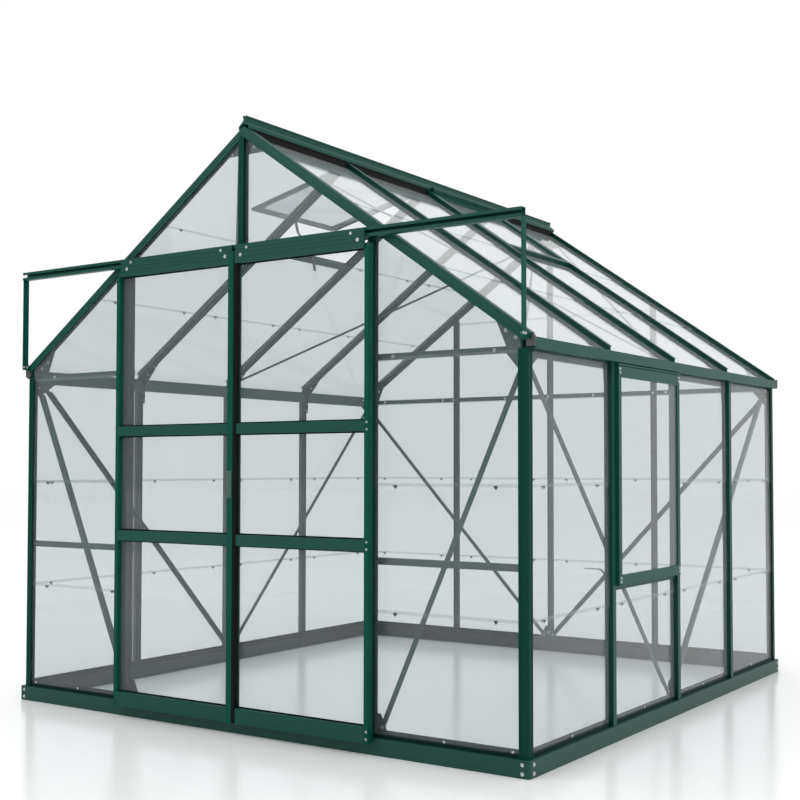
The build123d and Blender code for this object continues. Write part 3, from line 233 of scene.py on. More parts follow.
# a much darker copy of the frame paint for the sills: painted shade
SILL_SHADED_PAINT = Finish("sill_powder_coat_shaded", srgb(4, 36, 31), 0.45, gloss=0.12)
BASE_PAINT = Finish("base_powder_coat", srgb(10, 62, 54), 0.44, gloss=0.32)
CAP_PLASTIC = Finish("cap_plastic", srgb(60, 61, 62), 0.6)
STAY_METAL = Finish("stay_metal", srgb(96, 100, 100), 0.4, metallic=0.6)
ROLLER_PLASTIC = Finish("roller_nylon", srgb(38, 38, 40), 0.5)
HANDLE_PLASTIC = Finish("handle_plastic", srgb(44, 84, 72), 0.5)
BOLT_METAL = Finish("bolt_zinc", srgb(196, 200, 202), 0.32, metallic=0.9)
CLIP_METAL = Finish("clip_steel", srgb(44, 48, 54), 0.45, metallic=0.3)
# black rubber of the real seals, also used for strips of painted shade on the meeting stile and under the ridge
# cap
SEAL_RUBBER_AND_SHADE = Finish("seal_rubber_and_painted_shade", srgb(8, 10, 10), 0.7, gloss=0.15)
# the pane whitens towards grazing angles as painted reflection of the white surroundings
PANE = PaneGlass("pane_glass", colour=srgb(142, 141, 144), painted_reflection=srgb(236, 238, 240), tint=(0.974, 0.996, 1.0),
                 face=0.145, edge=0.62, power=4.0, shade=0.05)

FINISH_OF_SLOT: dict[Slot, Finish | PaneGlass] = {
    Slot.FRAME: FRAME_PAINT,
    Slot.BASE: BASE_PAINT,
    Slot.GLASS: PANE,
    Slot.CAP: CAP_PLASTIC,
    Slot.STAY: STAY_METAL,
    Slot.ROLLER: ROLLER_PLASTIC,
    Slot.HANDLE: HANDLE_PLASTIC,
}
FINISH_OF_NODE: dict[str, Finish | PaneGlass] = {
    # corner posts and door posts: the darker copy of the frame paint, painted shade
    "corner_posts": POST_SHADED_PAINT,
    "front_gable_bars": POST_SHADED_PAINT,
    # door stiles and track struts: the less glossy copy of the frame paint, painted shade
    "left_door_stiles": UPRIGHT_SHADED_PAINT,
    "right_door_stiles": UPRIGHT_SHADED_PAINT,
    "door_track_struts": UPRIGHT_SHADED_PAINT,
    # wall sills: the much darker copy of the frame paint, painted shade
    "wall_sills": SILL_SHADED_PAINT,
}


class Workshop:
    """Keeps the materials and hands each one out once made."""

    def __init__(self) -> None:
        """Starts with no material made."""
        self._made: dict[str, bpy.types.Material] = {}

    def material(self, finish: Finish | PaneGlass) -> bpy.types.Material:
        """Gives the material of a finish.

        Args:
            finish: The finish asked for.

        Returns:
            Its material, made at the first call.
        """
        if finish.name not in self._made:
            self._made[finish.name] = finish.material()
        return self._made[finish.name]

    def paint(self, piece: bpy.types.Object, finish: Finish | PaneGlass) -> None:
        """Gives a piece one finish all over.

        Args:
            piece: The object to paint.
            finish: The finish to give it.
        """
        piece.data.materials.clear()
        piece.data.materials.append(self.material(finish))


@dataclass
class Studio:
    """A white floor, soft lamps and the camera.

    Attributes:
        eye: Camera place in millimetres, in the building's own frame.
        azimuth: Degrees that the camera stands to the right of the front.
        pitch: Degrees that it looks up.
        lens: Focal length in millimetres on a 36 mm sensor.
        shift: Sensor shift in shares of the frame.
        sky: Strength of the surroundings as a light.
        dark_mirror: Strength of their darkest part where they are mirrored.
        bright_side: Direction in which they are mirrored brightest.
        floor_gloss: Gloss of the floor next to the building.
        gloss_ends: Distances in metres between which that gloss fades out.
    """

    eye: Point = (3253.0, -4815.3, 1019.65)
    azimuth: float = 33.18
    pitch: float = 1.99
    lens: float = 55.0
    shift: tuple[float, float] = (-0.0532, 0.0319)
    sky: float = 1.05
    dark_mirror: float = 0.2
    bright_side: Point = (0.6, 0.8, 0.0)
    floor_gloss: float = 0.4
    gloss_ends: tuple[float, float] = (2.2, 4.5)

    def camera(self) -> None:
        """Sets the camera as the photograph was seen."""
        data = bpy.data.cameras.new("studio_camera")
        data.sensor_width = 36.0
        data.lens = self.lens
        data.shift_x, data.shift_y = self.shift
        data.clip_end = 200.0
        camera = bpy.data.objects.new("studio_camera", data)
        bpy.context.scene.collection.objects.link(camera)
        camera.location = (self.eye[0] * MM, (self.eye[1] + SHIFT_Y) * MM, self.eye[2] * MM)
        camera.rotation_euler = (math.radians(90 + self.pitch), 0.0, math.radians(self.azimuth))
        bpy.context.scene.camera = camera

    def floor(self) -> None:
        """Lays a white floor that keeps the shadow, glossy only near the building."""
        bpy.ops.mesh.primitive_plane_add(size=80.0, location=(0.0, 0.0, -0.0005))
        floor = bpy.context.object
        floor.name = "studio_floor"
        made = bpy.data.materials.new("studio_floor")
        made.use_nodes = True
        tree = made.node_tree
        shader = tree.nodes["Principled BSDF"]
        shader.inputs["Base Color"].default_value = (0.94, 0.94, 0.94, 1.0)
        shader.inputs["Roughness"].default_value = 0.18
        place = tree.nodes.new("ShaderNodeTexCoord")
        away = tree.nodes.new("ShaderNodeVectorMath")
        away.operation = "LENGTH"
        tree.links.new(place.outputs["Object"], away.inputs[0])
        gloss = tree.nodes.new("ShaderNodeMapRange")
        gloss.inputs["From Min"].default_value = self.gloss_ends[0]
        gloss.inputs["From Max"].default_value = self.gloss_ends[1]
        gloss.inputs["To Min"].default_value = self.floor_gloss
        gloss.inputs["To Max"].default_value = 0.0
        tree.links.new(away.outputs["Value"], gloss.inputs["Value"])
        tree.links.new(gloss.outputs["Result"], shader.inputs["Specular IOR Level"])
        floor.data.materials.append(made)

    def backdrop(self) -> None:
        """Makes the surroundings white where they are seen, mirrored or looked through to."""
        world = bpy.data.worlds.new("studio_world")
        bpy.context.scene.world = world
        world.use_nodes = True
        tree = world.node_tree
        sky = tree.nodes["Background"]
        sky.inputs["Color"].default_value = (1.0, 1.0, 1.0, 1.0)
        place = tree.nodes.new("ShaderNodeTexCoord")
        along = tree.nodes.new("ShaderNodeVectorMath")
        along.operation = "DOT_PRODUCT"
        along.inputs[1].default_value = self.bright_side
        tree.links.new(place.outputs["Generated"], along.inputs[0])
        mirrored = tree.nodes.new("ShaderNodeMapRange")
        mirrored.inputs["From Min"].default_value = -0.9
        mirrored.inputs["From Max"].default_value = 0.0
        mirrored.inputs["To Min"].default_value = self.dark_mirror
        mirrored.inputs["To Max"].default_value = 1.0
        tree.links.new(along.outputs["Value"], mirrored.inputs["Value"])
        path = tree.nodes.new("ShaderNodeLightPath")
        strength = tree.nodes.new("ShaderNodeMix")
        strength.inputs["A"].default_value = self.sky
        tree.links.new(path.outputs["Is Glossy Ray"], strength.inputs["Factor"])
        tree.links.new(mirrored.outputs["Result"], strength.inputs["B"])
        seen = tree.nodes.new("ShaderNodeMix")
        seen.inputs["B"].default_value = 1.0
        tree.links.new(path.outputs["Is Camera Ray"], seen.inputs["Factor"])
        tree.links.new(strength.outputs["Result"], seen.inputs["A"])
        tree.links.new(seen.outputs["Result"], sky.inputs["Strength"])

    def lamp(self, name: str, place: Point, target: Point, size: float, watts: float) -> None:
        """Hangs one square soft lamp.

        Args:
            name: Name of the lamp.
            place: Where it hangs, in metres.
            target: What it points at, in metres.
            size: Side of the lamp in metres.
            watts: Its power.
        """
        data = bpy.data.lights.new(name, "AREA")
        data.size = size
        data.energy = watts
        lamp = bpy.data.objects.new(name, data)
        bpy.context.scene.collection.objects.link(lamp)
        lamp.location = place
        lamp.rotation_euler = (Vector(target) - Vector(place)).to_track_quat("-Z", "Y").to_euler()

    def build(self) -> None:
        """Sets up camera, floor, surroundings and lamps."""
        self.camera()
        self.floor()
        self.backdrop()
        self.lamp("front_lamp", (-3.5, -7.0, 5.5), (0.0, 0.0, 1.0), 5.0, 150.0)
        self.lamp("right_lamp", (7.5, -1.0, 5.0), (0.0, 0.0, 1.0), 5.0, 100.0)
        scene = bpy.context.scene
        scene.view_settings.view_transform = "Standard"


def at(x: float, y: float, z: float) -> Vector:
    """Turns a place in the building's millimetres into the scene's metres.

    Args:
        x: To the right, from the middle.
        y: To the back, from the middle of the bars.
        z: Up from the ground.

    Returns:
        The place in the scene.
    """
    return Vector((x, y + SHIFT_Y, z)) * MM


def aimed(place: Vector, out: Vector, up: Vector = UP) -> Matrix:
    """Turns a fitting's own Z to a direction and moves it to a place.

    Args:
        place: Where it goes, in metres.
        out: Where its Z points.
        up: Where its Y points, as far as it can.

    Returns:
        The matrix of the fitting.
    """
    facing = out.normalized()
    side = up.cross(facing).normalized()
    rise = facing.cross(side)
    turn = Matrix((side, rise, facing)).transposed().to_4x4()
    return Matrix.Translation(place) @ turn


def added(name: str) -> bpy.types.Object:
    """Names the primitive just added and puts its place into its mesh.

    Args:
        name: Name of the new piece.

    Returns:
        The new piece.
    """
    piece = bpy.context.object
    piece.name = name
    bpy.ops.object.transform_apply(location=True, rotation=True, scale=True)
    return piece


def cuboid(name: str, low: Vector, high: Vector) -> bpy.types.Object:
    """Adds a block between two corners.

    Args:
        name: Name of the new piece.
        low: Its lowest corner in metres.
        high: Its highest corner in metres.

    Returns:
        The new piece.
    """
    bpy.ops.object.select_all(action="DESELECT")
    bpy.ops.mesh.primitive_cube_add(size=1.0, location=(low + high) / 2, scale=high - low)
    return added(name)


def disc(name: str, sides: int, radius: float, low: float, high: float) -> bpy.types.Object:
    """Adds an upright prism or cylinder on the origin.

    Args:
        name: Name of the new piece.
        sides: How many sides it has.
        radius: Radius over its corners in metres.
        low: Where it starts along Z.
        high: Where it ends.

    Returns:
        The new piece.
    """
    bpy.ops.object.select_all(action="DESELECT")
    bpy.ops.mesh.primitive_cylinder_add(vertices=sides, radius=radius, depth=high - low,
                                        location=(0.0, 0.0, (low + high) / 2))
    return added(name)


def edit_faces(piece: bpy.types.Object, towards: Vector) -> None:
    """Opens a piece for editing with its furthest faces in one direction picked.

    Args:
        piece: The piece to edit.
        towards: The direction in which the faces look.
    """
    bpy.ops.object.mode_set(mode="EDIT")
    bpy.ops.mesh.select_mode(type="FACE")
    bpy.ops.mesh.select_all(action="DESELECT")
    bpy.ops.object.mode_set(mode="OBJECT")
    facing = [face for face in piece.data.polygons if face.normal.dot(towards) > 0.99]
    reach = max(face.center.dot(towards) for face in facing)
    for face in facing:
        face.select = face.center.dot(towards) > reach - 0.00001
    bpy.ops.object.mode_set(mode="EDIT")


def edit_done() -> None:
    """Goes back to object mode."""
    bpy.ops.object.mode_set(mode="OBJECT")


def joined(name: str, pieces: list[bpy.types.Object]) -> bpy.types.Object:
    """Makes one object of several.

    Args:
        name: Name of the joined piece.
        pieces: The objects to join.

    Returns:
        The joined piece.
    """
    bpy.ops.object.select_all(action="DESELECT")
    for piece in pieces:
        piece.select_set(True)
    bpy.context.view_layer.objects.active = pieces[0]
    bpy.ops.object.join()
    pieces[0].name = name
    return pieces[0]


def set_down(name: str, master: bpy.types.Object, places: list[Matrix]) -> bpy.types.Object:
    """Copies a fitting to many places as one piece, and clears the fitting away.

    Args:
        name: Name of the new piece.
        master: The fitting, modelled at the origin.
        places: Where its copies go.

    Returns:
        The new piece.
    """
    copies = []
    for place in places:
        mesh = master.data.copy()
        mesh.transform(place)
        copy = bpy.data.objects.new(name, mesh)
        bpy.context.scene.collection.objects.link(copy)
        copies.append(copy)
    bpy.data.objects.remove(master)
    return joined(name, copies)


@dataclass
class Layout:
    """Where the building's lines run, in millimetres.

    Attributes:
        face: Outer face of the bars from the middle.
        inner: Inner face of the bars.
        glass: Outer face of the wall glass.
        bay: Distance of the bars.
        eave: Height of the gutters' underside.
        base: Height of the base.
        apex: Height where the roof planes meet.
        pitch: Roof pitch in degrees.
        door_post: Door posts from the middle.
        lap_levels: Heights of the laps in the walls.
        roof_laps: Places of the laps on the roof, from the middle.
        plate: Thickness of the plates on the bars' inner faces.
        door_front: Front of the doors from the middle.
        base_proud: How far the base stands out before the bars.
    """

    face: float = 1281.0
    inner: float = 1244.0
    glass: float = 1261.0
    bay: float = 624.0
    eave: float = 1419.0
    base: float = 60.0
    apex: float = 2362.5
    pitch: float = 34.8
    door_post: float = 632.0
    lap_levels: tuple[float, float] = (501.0, 954.0)
    roof_laps: tuple[float, float] = (848.0, 451.0)
    plate: float = 3.0
    door_front: float = 1320.0
    base_proud: float = 4.0

    def bays(self) -> list[float]:
        """Middles of the four bays."""
        return [self.bay * (number - 1.5) for number in range(4)]

    def roof(self, x: float, depth: float) -> float:
        """Height of the roof at x, a depth below the bars' outer face."""
        return self.apex - abs(x) * math.tan(math.radians(self.pitch)) - depth / math.cos(math.radians(self.pitch))


@dataclass
class Bolts:
    """Hexagon bolts on washers, modelled once for each size.

    Attributes:
        layout: The building's lines.
        head: Radius of a large head over its corners, in millimetres.
        small: Radius of a small head.
        pin: Radius of the screws at the ends of the door rails.
        tall: Height of a head.
        washer: How far a washer stands out round the head.
        strut_faces: Inner and outer face of the track struts from the middle.
        strut_foot: Height of the bolts at the struts' feet.
        window_face: Front of the side window from the middle.
        rail_end: Screws at the door rails' ends from the middle.
        fascia_height: Height of the bolts on the door fascias.
        axle_height: Height of the roller axles.
        axle: First roller axle from the middle.
    """

    layout: Layout
    head: float = 5.6
    small: float = 4.2
    pin: float = 2.6
    tall: float = 3.6
    washer: float = 1.8
    strut_faces: tuple[float, float] = (1268.0, 1272.0)
    strut_foot: float = 1467.0
    window_face: float = 1295.0
    rail_end: float = 644.0
    fascia_height: float = 1842.0
    axle_height: float = 1868.0
    axle: float = 67.0

    def master(self, radius: float) -> bpy.types.Object:
        """Models one bolt head on its washer, standing on the origin.

        Args:
            radius: Radius of the head in millimetres.

        Returns:
            The bolt.
        """
        flat = disc("bolt_washer", 10, (radius + self.washer) * MM, 0.0, 0.9 * MM)
        edit_faces(flat, UP)
        bpy.ops.mesh.inset(thickness=0.5 * MM)
        bpy.ops.transform.translate(value=(0.0, 0.0, 0.3 * MM))
        edit_done()
        head = disc("bolt_head", 6, radius * MM, 1.0 * MM, self.tall * MM)
        edit_faces(head, UP)
        bpy.ops.mesh.inset(thickness=0.8 * MM)
        bpy.ops.transform.translate(value=(0.0, 0.0, 0.5 * MM))
        edit_done()
        return joined("bolt", [flat, head])

    def base_places(self) -> list[Matrix]:
        """Two bolts on both faces of each base corner.

        Returns:
            The places of the bolts.
        """
        face = self.layout.face + self.layout.base_proud
        edge = face - 28.0
        places = []
        for sx in (-1, 1):
            for sy in (-1, 1):
                for z in (15.0, 45.0):
                    places.append(aimed(at(sx * edge, sy * face, z), sy * BACK))
                    places.append(aimed(at(sx * face, sy * edge, z), sx * RIGHT))
        return places

    def gable_places(self) -> list[Matrix]:
        """Bolts of the gusset plates, ties and apex plates of both gables.

        Returns:
            The places of the bolts, on both faces of the plates.
        """
        rule = self.layout
        spots = [(rule.inner - 14, rule.eave - 43), (rule.inner - 31, rule.eave + 42),
                 (rule.inner - 70, rule.eave + 68),
                 (8.0, rule.roof(8.0, 50)), (36.0, rule.roof(36.0, 48)), (78.0, rule.roof(78.0, 37)),
                 (rule.door_post, rule.eave + 1), (rule.door_post + 73, rule.eave + 1),
                 (rule.inner - 116, rule.eave + 1)]
        front = spots + [(rule.door_post, 685.0), (rule.inner - 4, 685.0), (rule.door_post, 105.0),
                         (rule.door_post + 26, 92.0)]
        back = spots + [(0.0, rule.eave), (0.0, 105.0), (26.0, 92.0), (280.0, rule.eave)]
        places = []
        for sy, marks in ((-1, front), (1, back)):
            for x, z in marks:
                for sx in (-1, 1) if x else (1,):
                    places.append(aimed(at(sx * x, sy * (rule.inner - rule.plate), z), -sy * BACK))
                    places.append(aimed(at(sx * x, sy * rule.inner, z), sy * BACK))
        return places

    def side_places(self) -> list[Matrix]:
        """Bolts of the eave plates, foot plates and knee brackets of the side walls.

        Returns:
            The places of the bolts.
        """
        rule = self.layout
        spots = [(-1228.0, rule.eave - 55), (-1228.0, rule.eave - 12), (-1170.0, rule.eave + 14),
                 (0.0, 105.0), (-26.0, 92.0), (26.0, 92.0), (1228.0, rule.eave - 55), (1228.0, rule.eave - 12),
                 (1170.0, rule.eave + 14)]
        places = []
        for sx in (-1, 1):
            for y, z in spots:
                places.append(aimed(at(sx * (rule.inner - rule.plate), y, z), -sx * RIGHT))
                places.append(aimed(at(sx * rule.inner, y, z), sx * RIGHT))
            for line in (-rule.bay, 0.0, rule.bay):
                for x, z in ((rule.inner, rule.eave - 70), (rule.inner, rule.eave - 30),
                             (rule.inner - 78, rule.roof(rule.inner - 78, 37)),
                             (rule.inner - 34, rule.roof(rule.inner - 34, 37))):
                    places.append(aimed(at(sx * x, line + 11, z), BACK))
                    places.append(aimed(at(sx * x, line + 8, z), -BACK))
        return places

    def front_places(self) -> list[Matrix]:
        """Bolts at the feet of the track struts.

        Returns:
            The places of the bolts.
        """
        inner, outer = self.strut_faces
        places = []
        for sx in (-1, 1):
            for y in (-1298.0, -1282.0):
                places.append(aimed(at(sx * outer, y, self.strut_foot), sx * RIGHT))
                places.append(aimed(at(sx * inner, y, self.strut_foot), -sx * RIGHT))
        return places

    def window_places(self) -> list[Matrix]:
        """Screws at the ends of the side window's stiles.

        Returns:
            The places of the screws.
        """
        marks = [(self.window_face, y, z) for y in (-597.0, -27.0) for z in (592.0, 606.0, 1380.0, 1394.0)]
        return [aimed(at(*mark), RIGHT) for mark in marks]

    def fascia_places(self, side: int, near: float, shift: float) -> list[Matrix]:
        """Places on a door's fascia.

        Args:
            side: -1 for the left leaf, 1 for the right one.
            near: The bolt next to the meeting stiles, from the middle.
            shift: Height of the bolts.

        Returns:
            The places of the bolts near both ends.
        """
        far = 637.0 - near
        return [aimed(at(side * x, -self.layout.door_front, shift), -BACK) for x in (near, far)]

    def rail_places(self) -> list[Matrix]:
        """Two screws at the outer end of each rail of the right leaf.

        Returns:
            The places of the screws.
        """
        return [aimed(at(self.rail_end, -self.layout.door_front, middle + shift), -BACK)
                for middle in (74.0, 743.0, 1171.0) for shift in (-13.0, 13.0)]

    def build(self, shop: Workshop) -> None:
        """Sets all bolts down.

        Args:
            shop: The store of materials.
        """
        large = set_down("frame_bolts", self.master(self.head),
                         self.base_places() + self.gable_places() + self.side_places())
        dress(large, Body.HOUSE, BOLT_METAL, shop)
        small = set_down("frame_screws", self.master(self.small), self.front_places() + self.window_places())
        dress(small, Body.HOUSE, BOLT_METAL, shop)
        for side, body, near in ((-1, Body.LEFT_DOOR, 44.0), (1, Body.RIGHT_DOOR, 36.0)):
            big = set_down(f"{body.value}_bolts", self.master(self.head),
                           self.fascia_places(side, near, self.fascia_height))
            dress(big, body, BOLT_METAL, shop)
            axle = set_down(f"{body.value}_axle_nuts", self.master(self.small),
                            self.fascia_places(side, self.axle, self.axle_height))
            dress(axle, body, BOLT_METAL, shop)
        pins = set_down("right_door_rail_screws", self.master(self.pin), self.rail_places())
        dress(pins, Body.RIGHT_DOOR, BOLT_METAL, shop)


@dataclass
class LapClips:
    """Bent steel clips that hold each lapped pane to the one below.

    Attributes:
        layout: The building's lines.
        wide: Width of a clip in millimetres.
        tall: Height of its cross piece.
        tail: Length of its tail.
        share: Place of a clip in its bay, from the bay's middle.
        outside: Outer ends of the wall clips beyond the glass face.
        inside: Inner ends behind it.
        roof_outside: The same on the roof, from the middle of the lapped panes.
        roof_inside: The inner ends there.
    """

    layout: Layout
    wide: float = 13.0
    tall: float = 4.5
    tail: float = 6.0
    share: float = 0.333
    outside: float = 3.5
    inside: float = 3.4
    roof_outside: float = 3.6
    roof_inside: float = 3.5

    def master(self) -> bpy.types.Object:
        """Models one T-shaped clip: Y up the pane, Z out of it.

        Returns:
            The clip.
        """
        half = self.wide / 2 * MM
        clip = cuboid("lap_clip", Vector((-half, 0.0, 0.0)), Vector((half, self.tall * MM, 1.0 * MM)))
        edit_faces(clip, -BACK)
        bpy.ops.mesh.extrude_region_move(TRANSFORM_OT_translate={"value": (0.0, -0.8 * MM, 0.0)})
        bpy.ops.transform.resize(value=(0.36, 1.0, 1.0))
        bpy.ops.mesh.extrude_region_move(TRANSFORM_OT_translate={"value": (0.0, -self.tail * MM, 0.0)})
        edit_done()
        edit_faces(clip, UP)
        bpy.ops.mesh.inset(thickness=0.3 * MM)
        edit_done()
        return clip

    def wall_places(self) -> list[Matrix]:
        """Clips on both side walls and the back wall, and beside the doors.

        Returns:
            The places of the clips' outer and inner ends.
        """
        rule = self.layout
        places = []
        for level in rule.lap_levels:
            for middle in rule.bays():
                for shift in (-self.share * rule.bay, self.share * rule.bay):
                    along = middle + shift
                    for out, way in ((rule.glass + self.outside, 1), (rule.glass - self.inside, -1)):
                        for sx in (-1, 1):
                            hidden = sx == 1 and middle == rule.bays()[1] and level > 560
                            if not hidden:
                                places.append(aimed(at(sx * out, along, level), way * sx * RIGHT))
                        places.append(aimed(at(along, out, level), way * BACK))
                        if abs(middle) > rule.bay:
                            places.append(aimed(at(along, -out, level), -way * BACK))
        return places

    def roof_places(self) -> list[Matrix]:
        """Clips on both roof slopes, outside the vents.

        Returns:
            The places of the clips' outer and inner ends.
        """
        rule = self.layout
        angle = math.radians(rule.pitch)
        places = []
        for sx in (-1, 1):
            out = Vector((sx * math.sin(angle), 0.0, math.cos(angle)))
            up = Vector((-sx * math.cos(angle), 0.0, math.sin(angle)))
            for x in rule.roof_laps:
                for number, middle in enumerate(rule.bays()):
                    vent = x < 600 and number == (2 if sx == 1 else 1)
                    if vent:
                        continue
                    seat = at(sx * x, middle, rule.roof(x, 20.0)) - up * 12.0 * MM
                    for shift in (-self.share, self.share):
                        foot = seat + Vector((0.0, shift * rule.bay * MM, 0.0))
                        places.append(aimed(foot + out * self.roof_outside * MM, out, up))
                        places.append(aimed(foot - out * self.roof_inside * MM, -out, up))
        return places

    def build(self, shop: Workshop) -> None:
        """Sets all clips down.

        Args:
            shop: The store of materials.
        """
        clips = set_down("lap_clips", self.master(), self.wall_places() + self.roof_places())
        dress(clips, Body.HOUSE, CLIP_METAL, shop)


@dataclass
class SillClips:
    """Bright spring clips that hold the lowest panes to the sills.

    Attributes:
        layout: The building's lines.
        wide: Width of a clip in millimetres.
        tall: Its height over the sill.
    """

    layout: Layout
    wide: float = 10.0
    tall: float = 9.0

    def master(self) -> bpy.types.Object:
        """Models one clip: a plate with its head bent outwards.

        Returns:
            The clip.
        """
        half = self.wide / 2 * MM
        clip = cuboid("sill_clip", Vector((-half, 0.0, 0.0)), Vector((half, self.tall * MM, 1.2 * MM)))
        edit_faces(clip, BACK)
        bpy.ops.mesh.extrude_region_move(TRANSFORM_OT_translate={"value": (0.0, 2.0 * MM, 1.6 * MM)})
        bpy.ops.transform.resize(value=(0.8, 1.0, 1.0))
        edit_done()
        return clip

    def build(self, shop: Workshop) -> None:
        """Sets one clip at the middle and one at the end of each lowest pane.

        Args:
            shop: The store of materials.
        """
        rule = self.layout
        out = rule.glass + 0.2
        foot = rule.base + 12.0
        places = []
        for middle in rule.bays():
            for shift in (0.0, 0.455 * rule.bay):
                for sx in (-1, 1):
                    places.append(aimed(at(sx * out, middle + shift, foot), sx * RIGHT))
                places.append(aimed(at(middle + shift, out, foot), BACK))
                if abs(middle) > rule.bay:
                    places.append(aimed(at(middle + math.copysign(shift, middle) * 0.96, -out, foot),
                                        -BACK))
        clips = set_down("sill_clips", self.master(), places)
        dress(clips, Body.HOUSE, BOLT_METAL, shop)


@dataclass
class DoorSeals:
    """A black strip of painted shade on the right leaf's meeting stile, a dark brush between the leaves and dark
    gaskets along the door panes.

    Attributes:
        low: Foot of the meeting seals in millimetres.
        high: Their head.
        wide: Width of the black strip, painted shade, on the right leaf's meeting stile.
        pane_edges: Lower and upper edge of each pane, between its rails.
        gasket: Height of a gasket.
    """

    low: float = 47.0
    high: float = 1809.0
    wide: float = 13.2
    pane_edges: tuple[tuple[float, float], ...] = ((103.0, 721.9), (763.9, 1151.0), (1191.0, 1811.0))
    gasket: float = 5.0

    def strip(self, name: str, x0: float, x1: float) -> bpy.types.Object:
        """Models a ribbed black strip on a stile's front, turned in round its edge: painted shade over the stile's
        front and side.

        Args:
            name: Name of the strip.
            x0: Its left edge.
            x1: Its right edge.

        Returns:
            The strip.
        """
        shade_strip = cuboid(name, at(x0, -1321.6, self.low), at(x1, -1320.0, self.high))
        edit_faces(shade_strip, -BACK)
        bpy.ops.mesh.inset(thickness=3.0 * MM)
        bpy.ops.mesh.extrude_region_move(TRANSFORM_OT_translate={"value": (0.0, -1.2 * MM, 0.0)})
        bpy.ops.transform.resize(value=(0.7, 1.0, 1.0))
        edit_done()
        turn = cuboid(f"{name}_edge", at(x1 - 1.4, -1320.0, self.low), at(x1, -1303.0, self.high))
        edit_faces(turn, RIGHT)
        bpy.ops.mesh.inset(thickness=4.0 * MM)
        bpy.ops.mesh.extrude_region_move(TRANSFORM_OT_translate={"value": (0.6 * MM, 0.0, 0.0)})
        edit_done()
        return joined(name, [shade_strip, turn])

    def gaskets(self, name: str, x0: float, x1: float) -> bpy.types.Object:
        """Models the ribbed gaskets along the upper and lower edges of a leaf's panes.

        Args:
            name: Name of the new piece.
            x0: Left edge of the panes.
            x1: Right edge of the panes.

        Returns:
            The gaskets as one piece.
        """
        strips = []
        for low, high in self.pane_edges:
            for foot in (low + 0.1, high - 0.1 - self.gasket):
                strip = cuboid(name, at(x0, -1301.0, foot), at(x1, -1299.4, foot + self.gasket))
                edit_faces(strip, -BACK)
                bpy.ops.mesh.inset(thickness=1.2 * MM)
                bpy.ops.mesh.extrude_region_move(TRANSFORM_OT_translate={"value": (0.0, -0.8 * MM, 0.0)})
                edit_done()
                strips.append(strip)
        return joined(name, strips)

    def build(self, shop: Workshop) -> None:
        """Builds the strip of painted shade on the right leaf's meeting stile, the brush between the leaves and
        the gaskets of both leaves.

        Args:
            shop: The store of materials.
        """
        dress(self.gaskets("left_door_gaskets", -632.8, -27.2), Body.LEFT_DOOR, SEAL_RUBBER_AND_SHADE, shop)
        dress(self.gaskets("right_door_gaskets", 18.7, 632.8), Body.RIGHT_DOOR, SEAL_RUBBER_AND_SHADE, shop)
        # a black strip over the right meeting stile's front and side face: painted shade
        shade_strip = self.strip("meeting_shade_strip", 6.7, 6.7 + self.wide)
        dress(shade_strip, Body.RIGHT_DOOR, SEAL_RUBBER_AND_SHADE, shop)
        brush = cuboid("meeting_brush", at(1.0, -1312.0, self.low), at(3.6, -1300.0, self.high))
        edit_faces(brush, RIGHT)
        bpy.ops.mesh.inset(thickness=2.0 * MM)
        bpy.ops.mesh.extrude_region_move(TRANSFORM_OT_translate={"value": (0.6 * MM, 0.0, 0.0)})
        edit_done()
        dress(brush, Body.LEFT_DOOR, SEAL_RUBBER_AND_SHADE, shop)


@dataclass
class RidgeShadeStrips:
    """Black strips over the heads of the roof panes, under the ridge cap: painted shade for the shadowed recess
    below the cap.

    Attributes:
        layout: The building's lines.
        inner: Web of the ridge from the middle, in millimetres.
        outer: Outer face of the strips.
    """

    layout: Layout
    inner: float = 24.2
    outer: float = 31.0

    def build(self, shop: Workshop) -> None:
        """Builds a strip in every bay without a vent.

        Args:
            shop: The store of materials.
        """
        rule = self.layout
        low = rule.roof(self.outer, 19.0)
        high = rule.roof(self.inner, 0.0) + 1.5
        strips = []
        for sx in (-1, 1):
            for number, middle in enumerate(rule.bays()):
                if number == (2 if sx == 1 else 1):
                    continue
                edges = sorted((sx * self.inner, sx * self.outer))
                # a black strip under the ridge cap: painted shade
                strip = cuboid("ridge_strip", at(edges[0], middle - 294, low), at(edges[1], middle + 294, high))
                edit_faces(strip, sx * RIGHT)
                bpy.ops.mesh.inset(thickness=5.0 * MM)
                bpy.ops.mesh.extrude_region_move(TRANSFORM_OT_translate={"value": (-sx * 2.5 * MM, 0.0, 0.0)})
                edit_done()
                strips.append(strip)
        dress(joined("ridge_shade_strips", strips), Body.HOUSE, SEAL_RUBBER_AND_SHADE, shop)


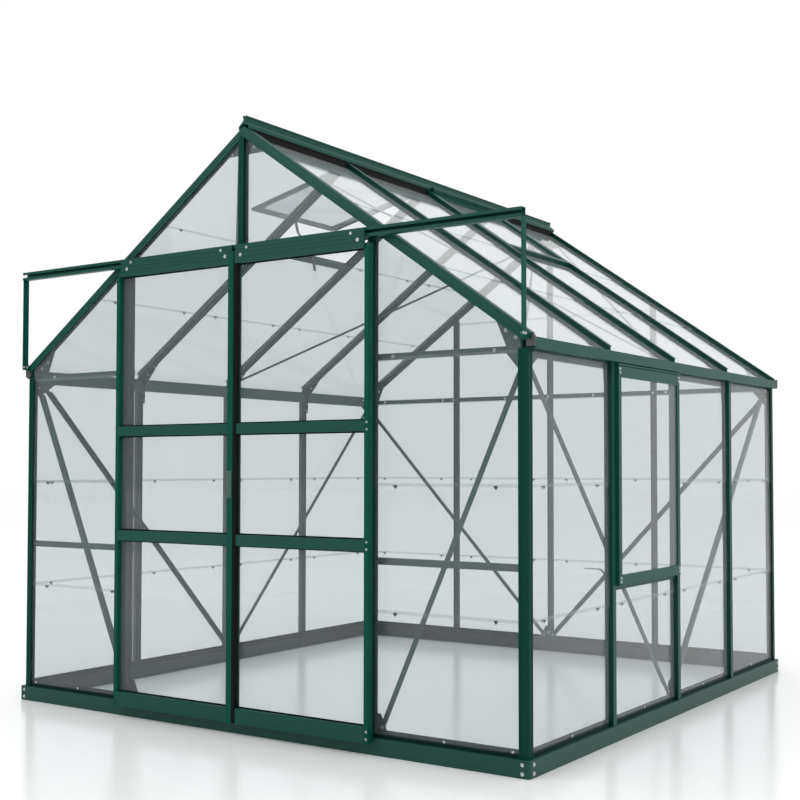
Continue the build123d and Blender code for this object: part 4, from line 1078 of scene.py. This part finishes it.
@dataclass
class WindowHinge:
    """The hinge rail that hangs the side window under the gutter.

    Attributes:
        start: Front end of the rail along the wall, in millimetres.
        end: Its back end.
        low: Top of the window.
        high: Underside of the gutter.
        roll: Radius of the rolled bead.
    """

    start: float = -609.0
    end: float = -15.0
    low: float = 1405.2
    high: float = 1418.8
    roll: float = 5.5

    def build(self, shop: Workshop) -> None:
        """Builds the rail with its rolled bead.

        Args:
            shop: The store of materials.
        """
        rail = cuboid("hinge_rail", at(1264.0, self.start, self.low), at(1286.0, self.end, self.high))
        edit_faces(rail, RIGHT)
        bpy.ops.mesh.inset(thickness=2.0 * MM)
        bpy.ops.mesh.extrude_region_move(TRANSFORM_OT_translate={"value": (3.0 * MM, 0.0, 0.0)})
        edit_done()
        bead = disc("hinge_bead", 16, self.roll * MM, 0.0, (self.end - self.start) * MM)
        edit_faces(bead, UP)
        bpy.ops.mesh.inset(thickness=2.0 * MM)
        edit_done()
        middle = (self.low + self.high) / 2
        bead.data.transform(aimed(at(1290.0, self.start, middle), BACK))
        dress(joined("window_hinge", [rail, bead]), Body.HOUSE, FRAME_PAINT, shop)


def dress(piece: bpy.types.Object, body: Body, finish: Finish | PaneGlass, shop: Workshop) -> None:
    """Mends a new piece's normals, paints it and ties it to its body.

    Args:
        piece: The new piece.
        body: The body that it rides on.
        finish: Its finish.
        shop: The store of materials.
    """
    bpy.ops.object.select_all(action="DESELECT")
    piece.select_set(True)
    bpy.context.view_layer.objects.active = piece
    bpy.ops.object.mode_set(mode="EDIT")
    bpy.ops.mesh.select_all(action="SELECT")
    bpy.ops.mesh.remove_doubles(threshold=0.000002)
    bpy.ops.mesh.normals_make_consistent(inside=False)
    bpy.ops.object.mode_set(mode="OBJECT")
    bpy.ops.object.shade_smooth_by_angle(angle=math.radians(30))
    shop.paint(piece, finish)
    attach(piece, body.value)
    LOG.info("%s: %d faces", piece.name, len(piece.data.polygons))


def dress_nodes(frame: dict, shop: Workshop) -> None:
    """Paints every solid of the part with the finish of its slot, or, where its node is listed, with a darker or
    less glossy copy of the frame paint as painted shade.

    Args:
        shop: The store of materials.
    """
    for row in frame["record"]["subparts"]:
        node = frame["nodes"][row["node"]]
        slot = Slot(row["material_slot"])
        shop.paint(node, FINISH_OF_NODE.get(row["node"], FINISH_OF_SLOT[slot]))


def main() -> None:
    """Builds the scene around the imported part."""
    logging.basicConfig(level=logging.INFO)
    for start in list(bpy.data.objects):
        bpy.data.objects.remove(start)
    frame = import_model()
    bpy.ops.object.select_all(action="DESELECT")
    shop = Workshop()
    dress_nodes(frame, shop)
    layout = Layout()
    for fittings in (Bolts(layout), LapClips(layout), SillClips(layout), DoorSeals(), RidgeShadeStrips(layout),
                     WindowHinge()):
        fittings.build(shop)
    Studio().build()


if __name__ == "__main__":
    main()
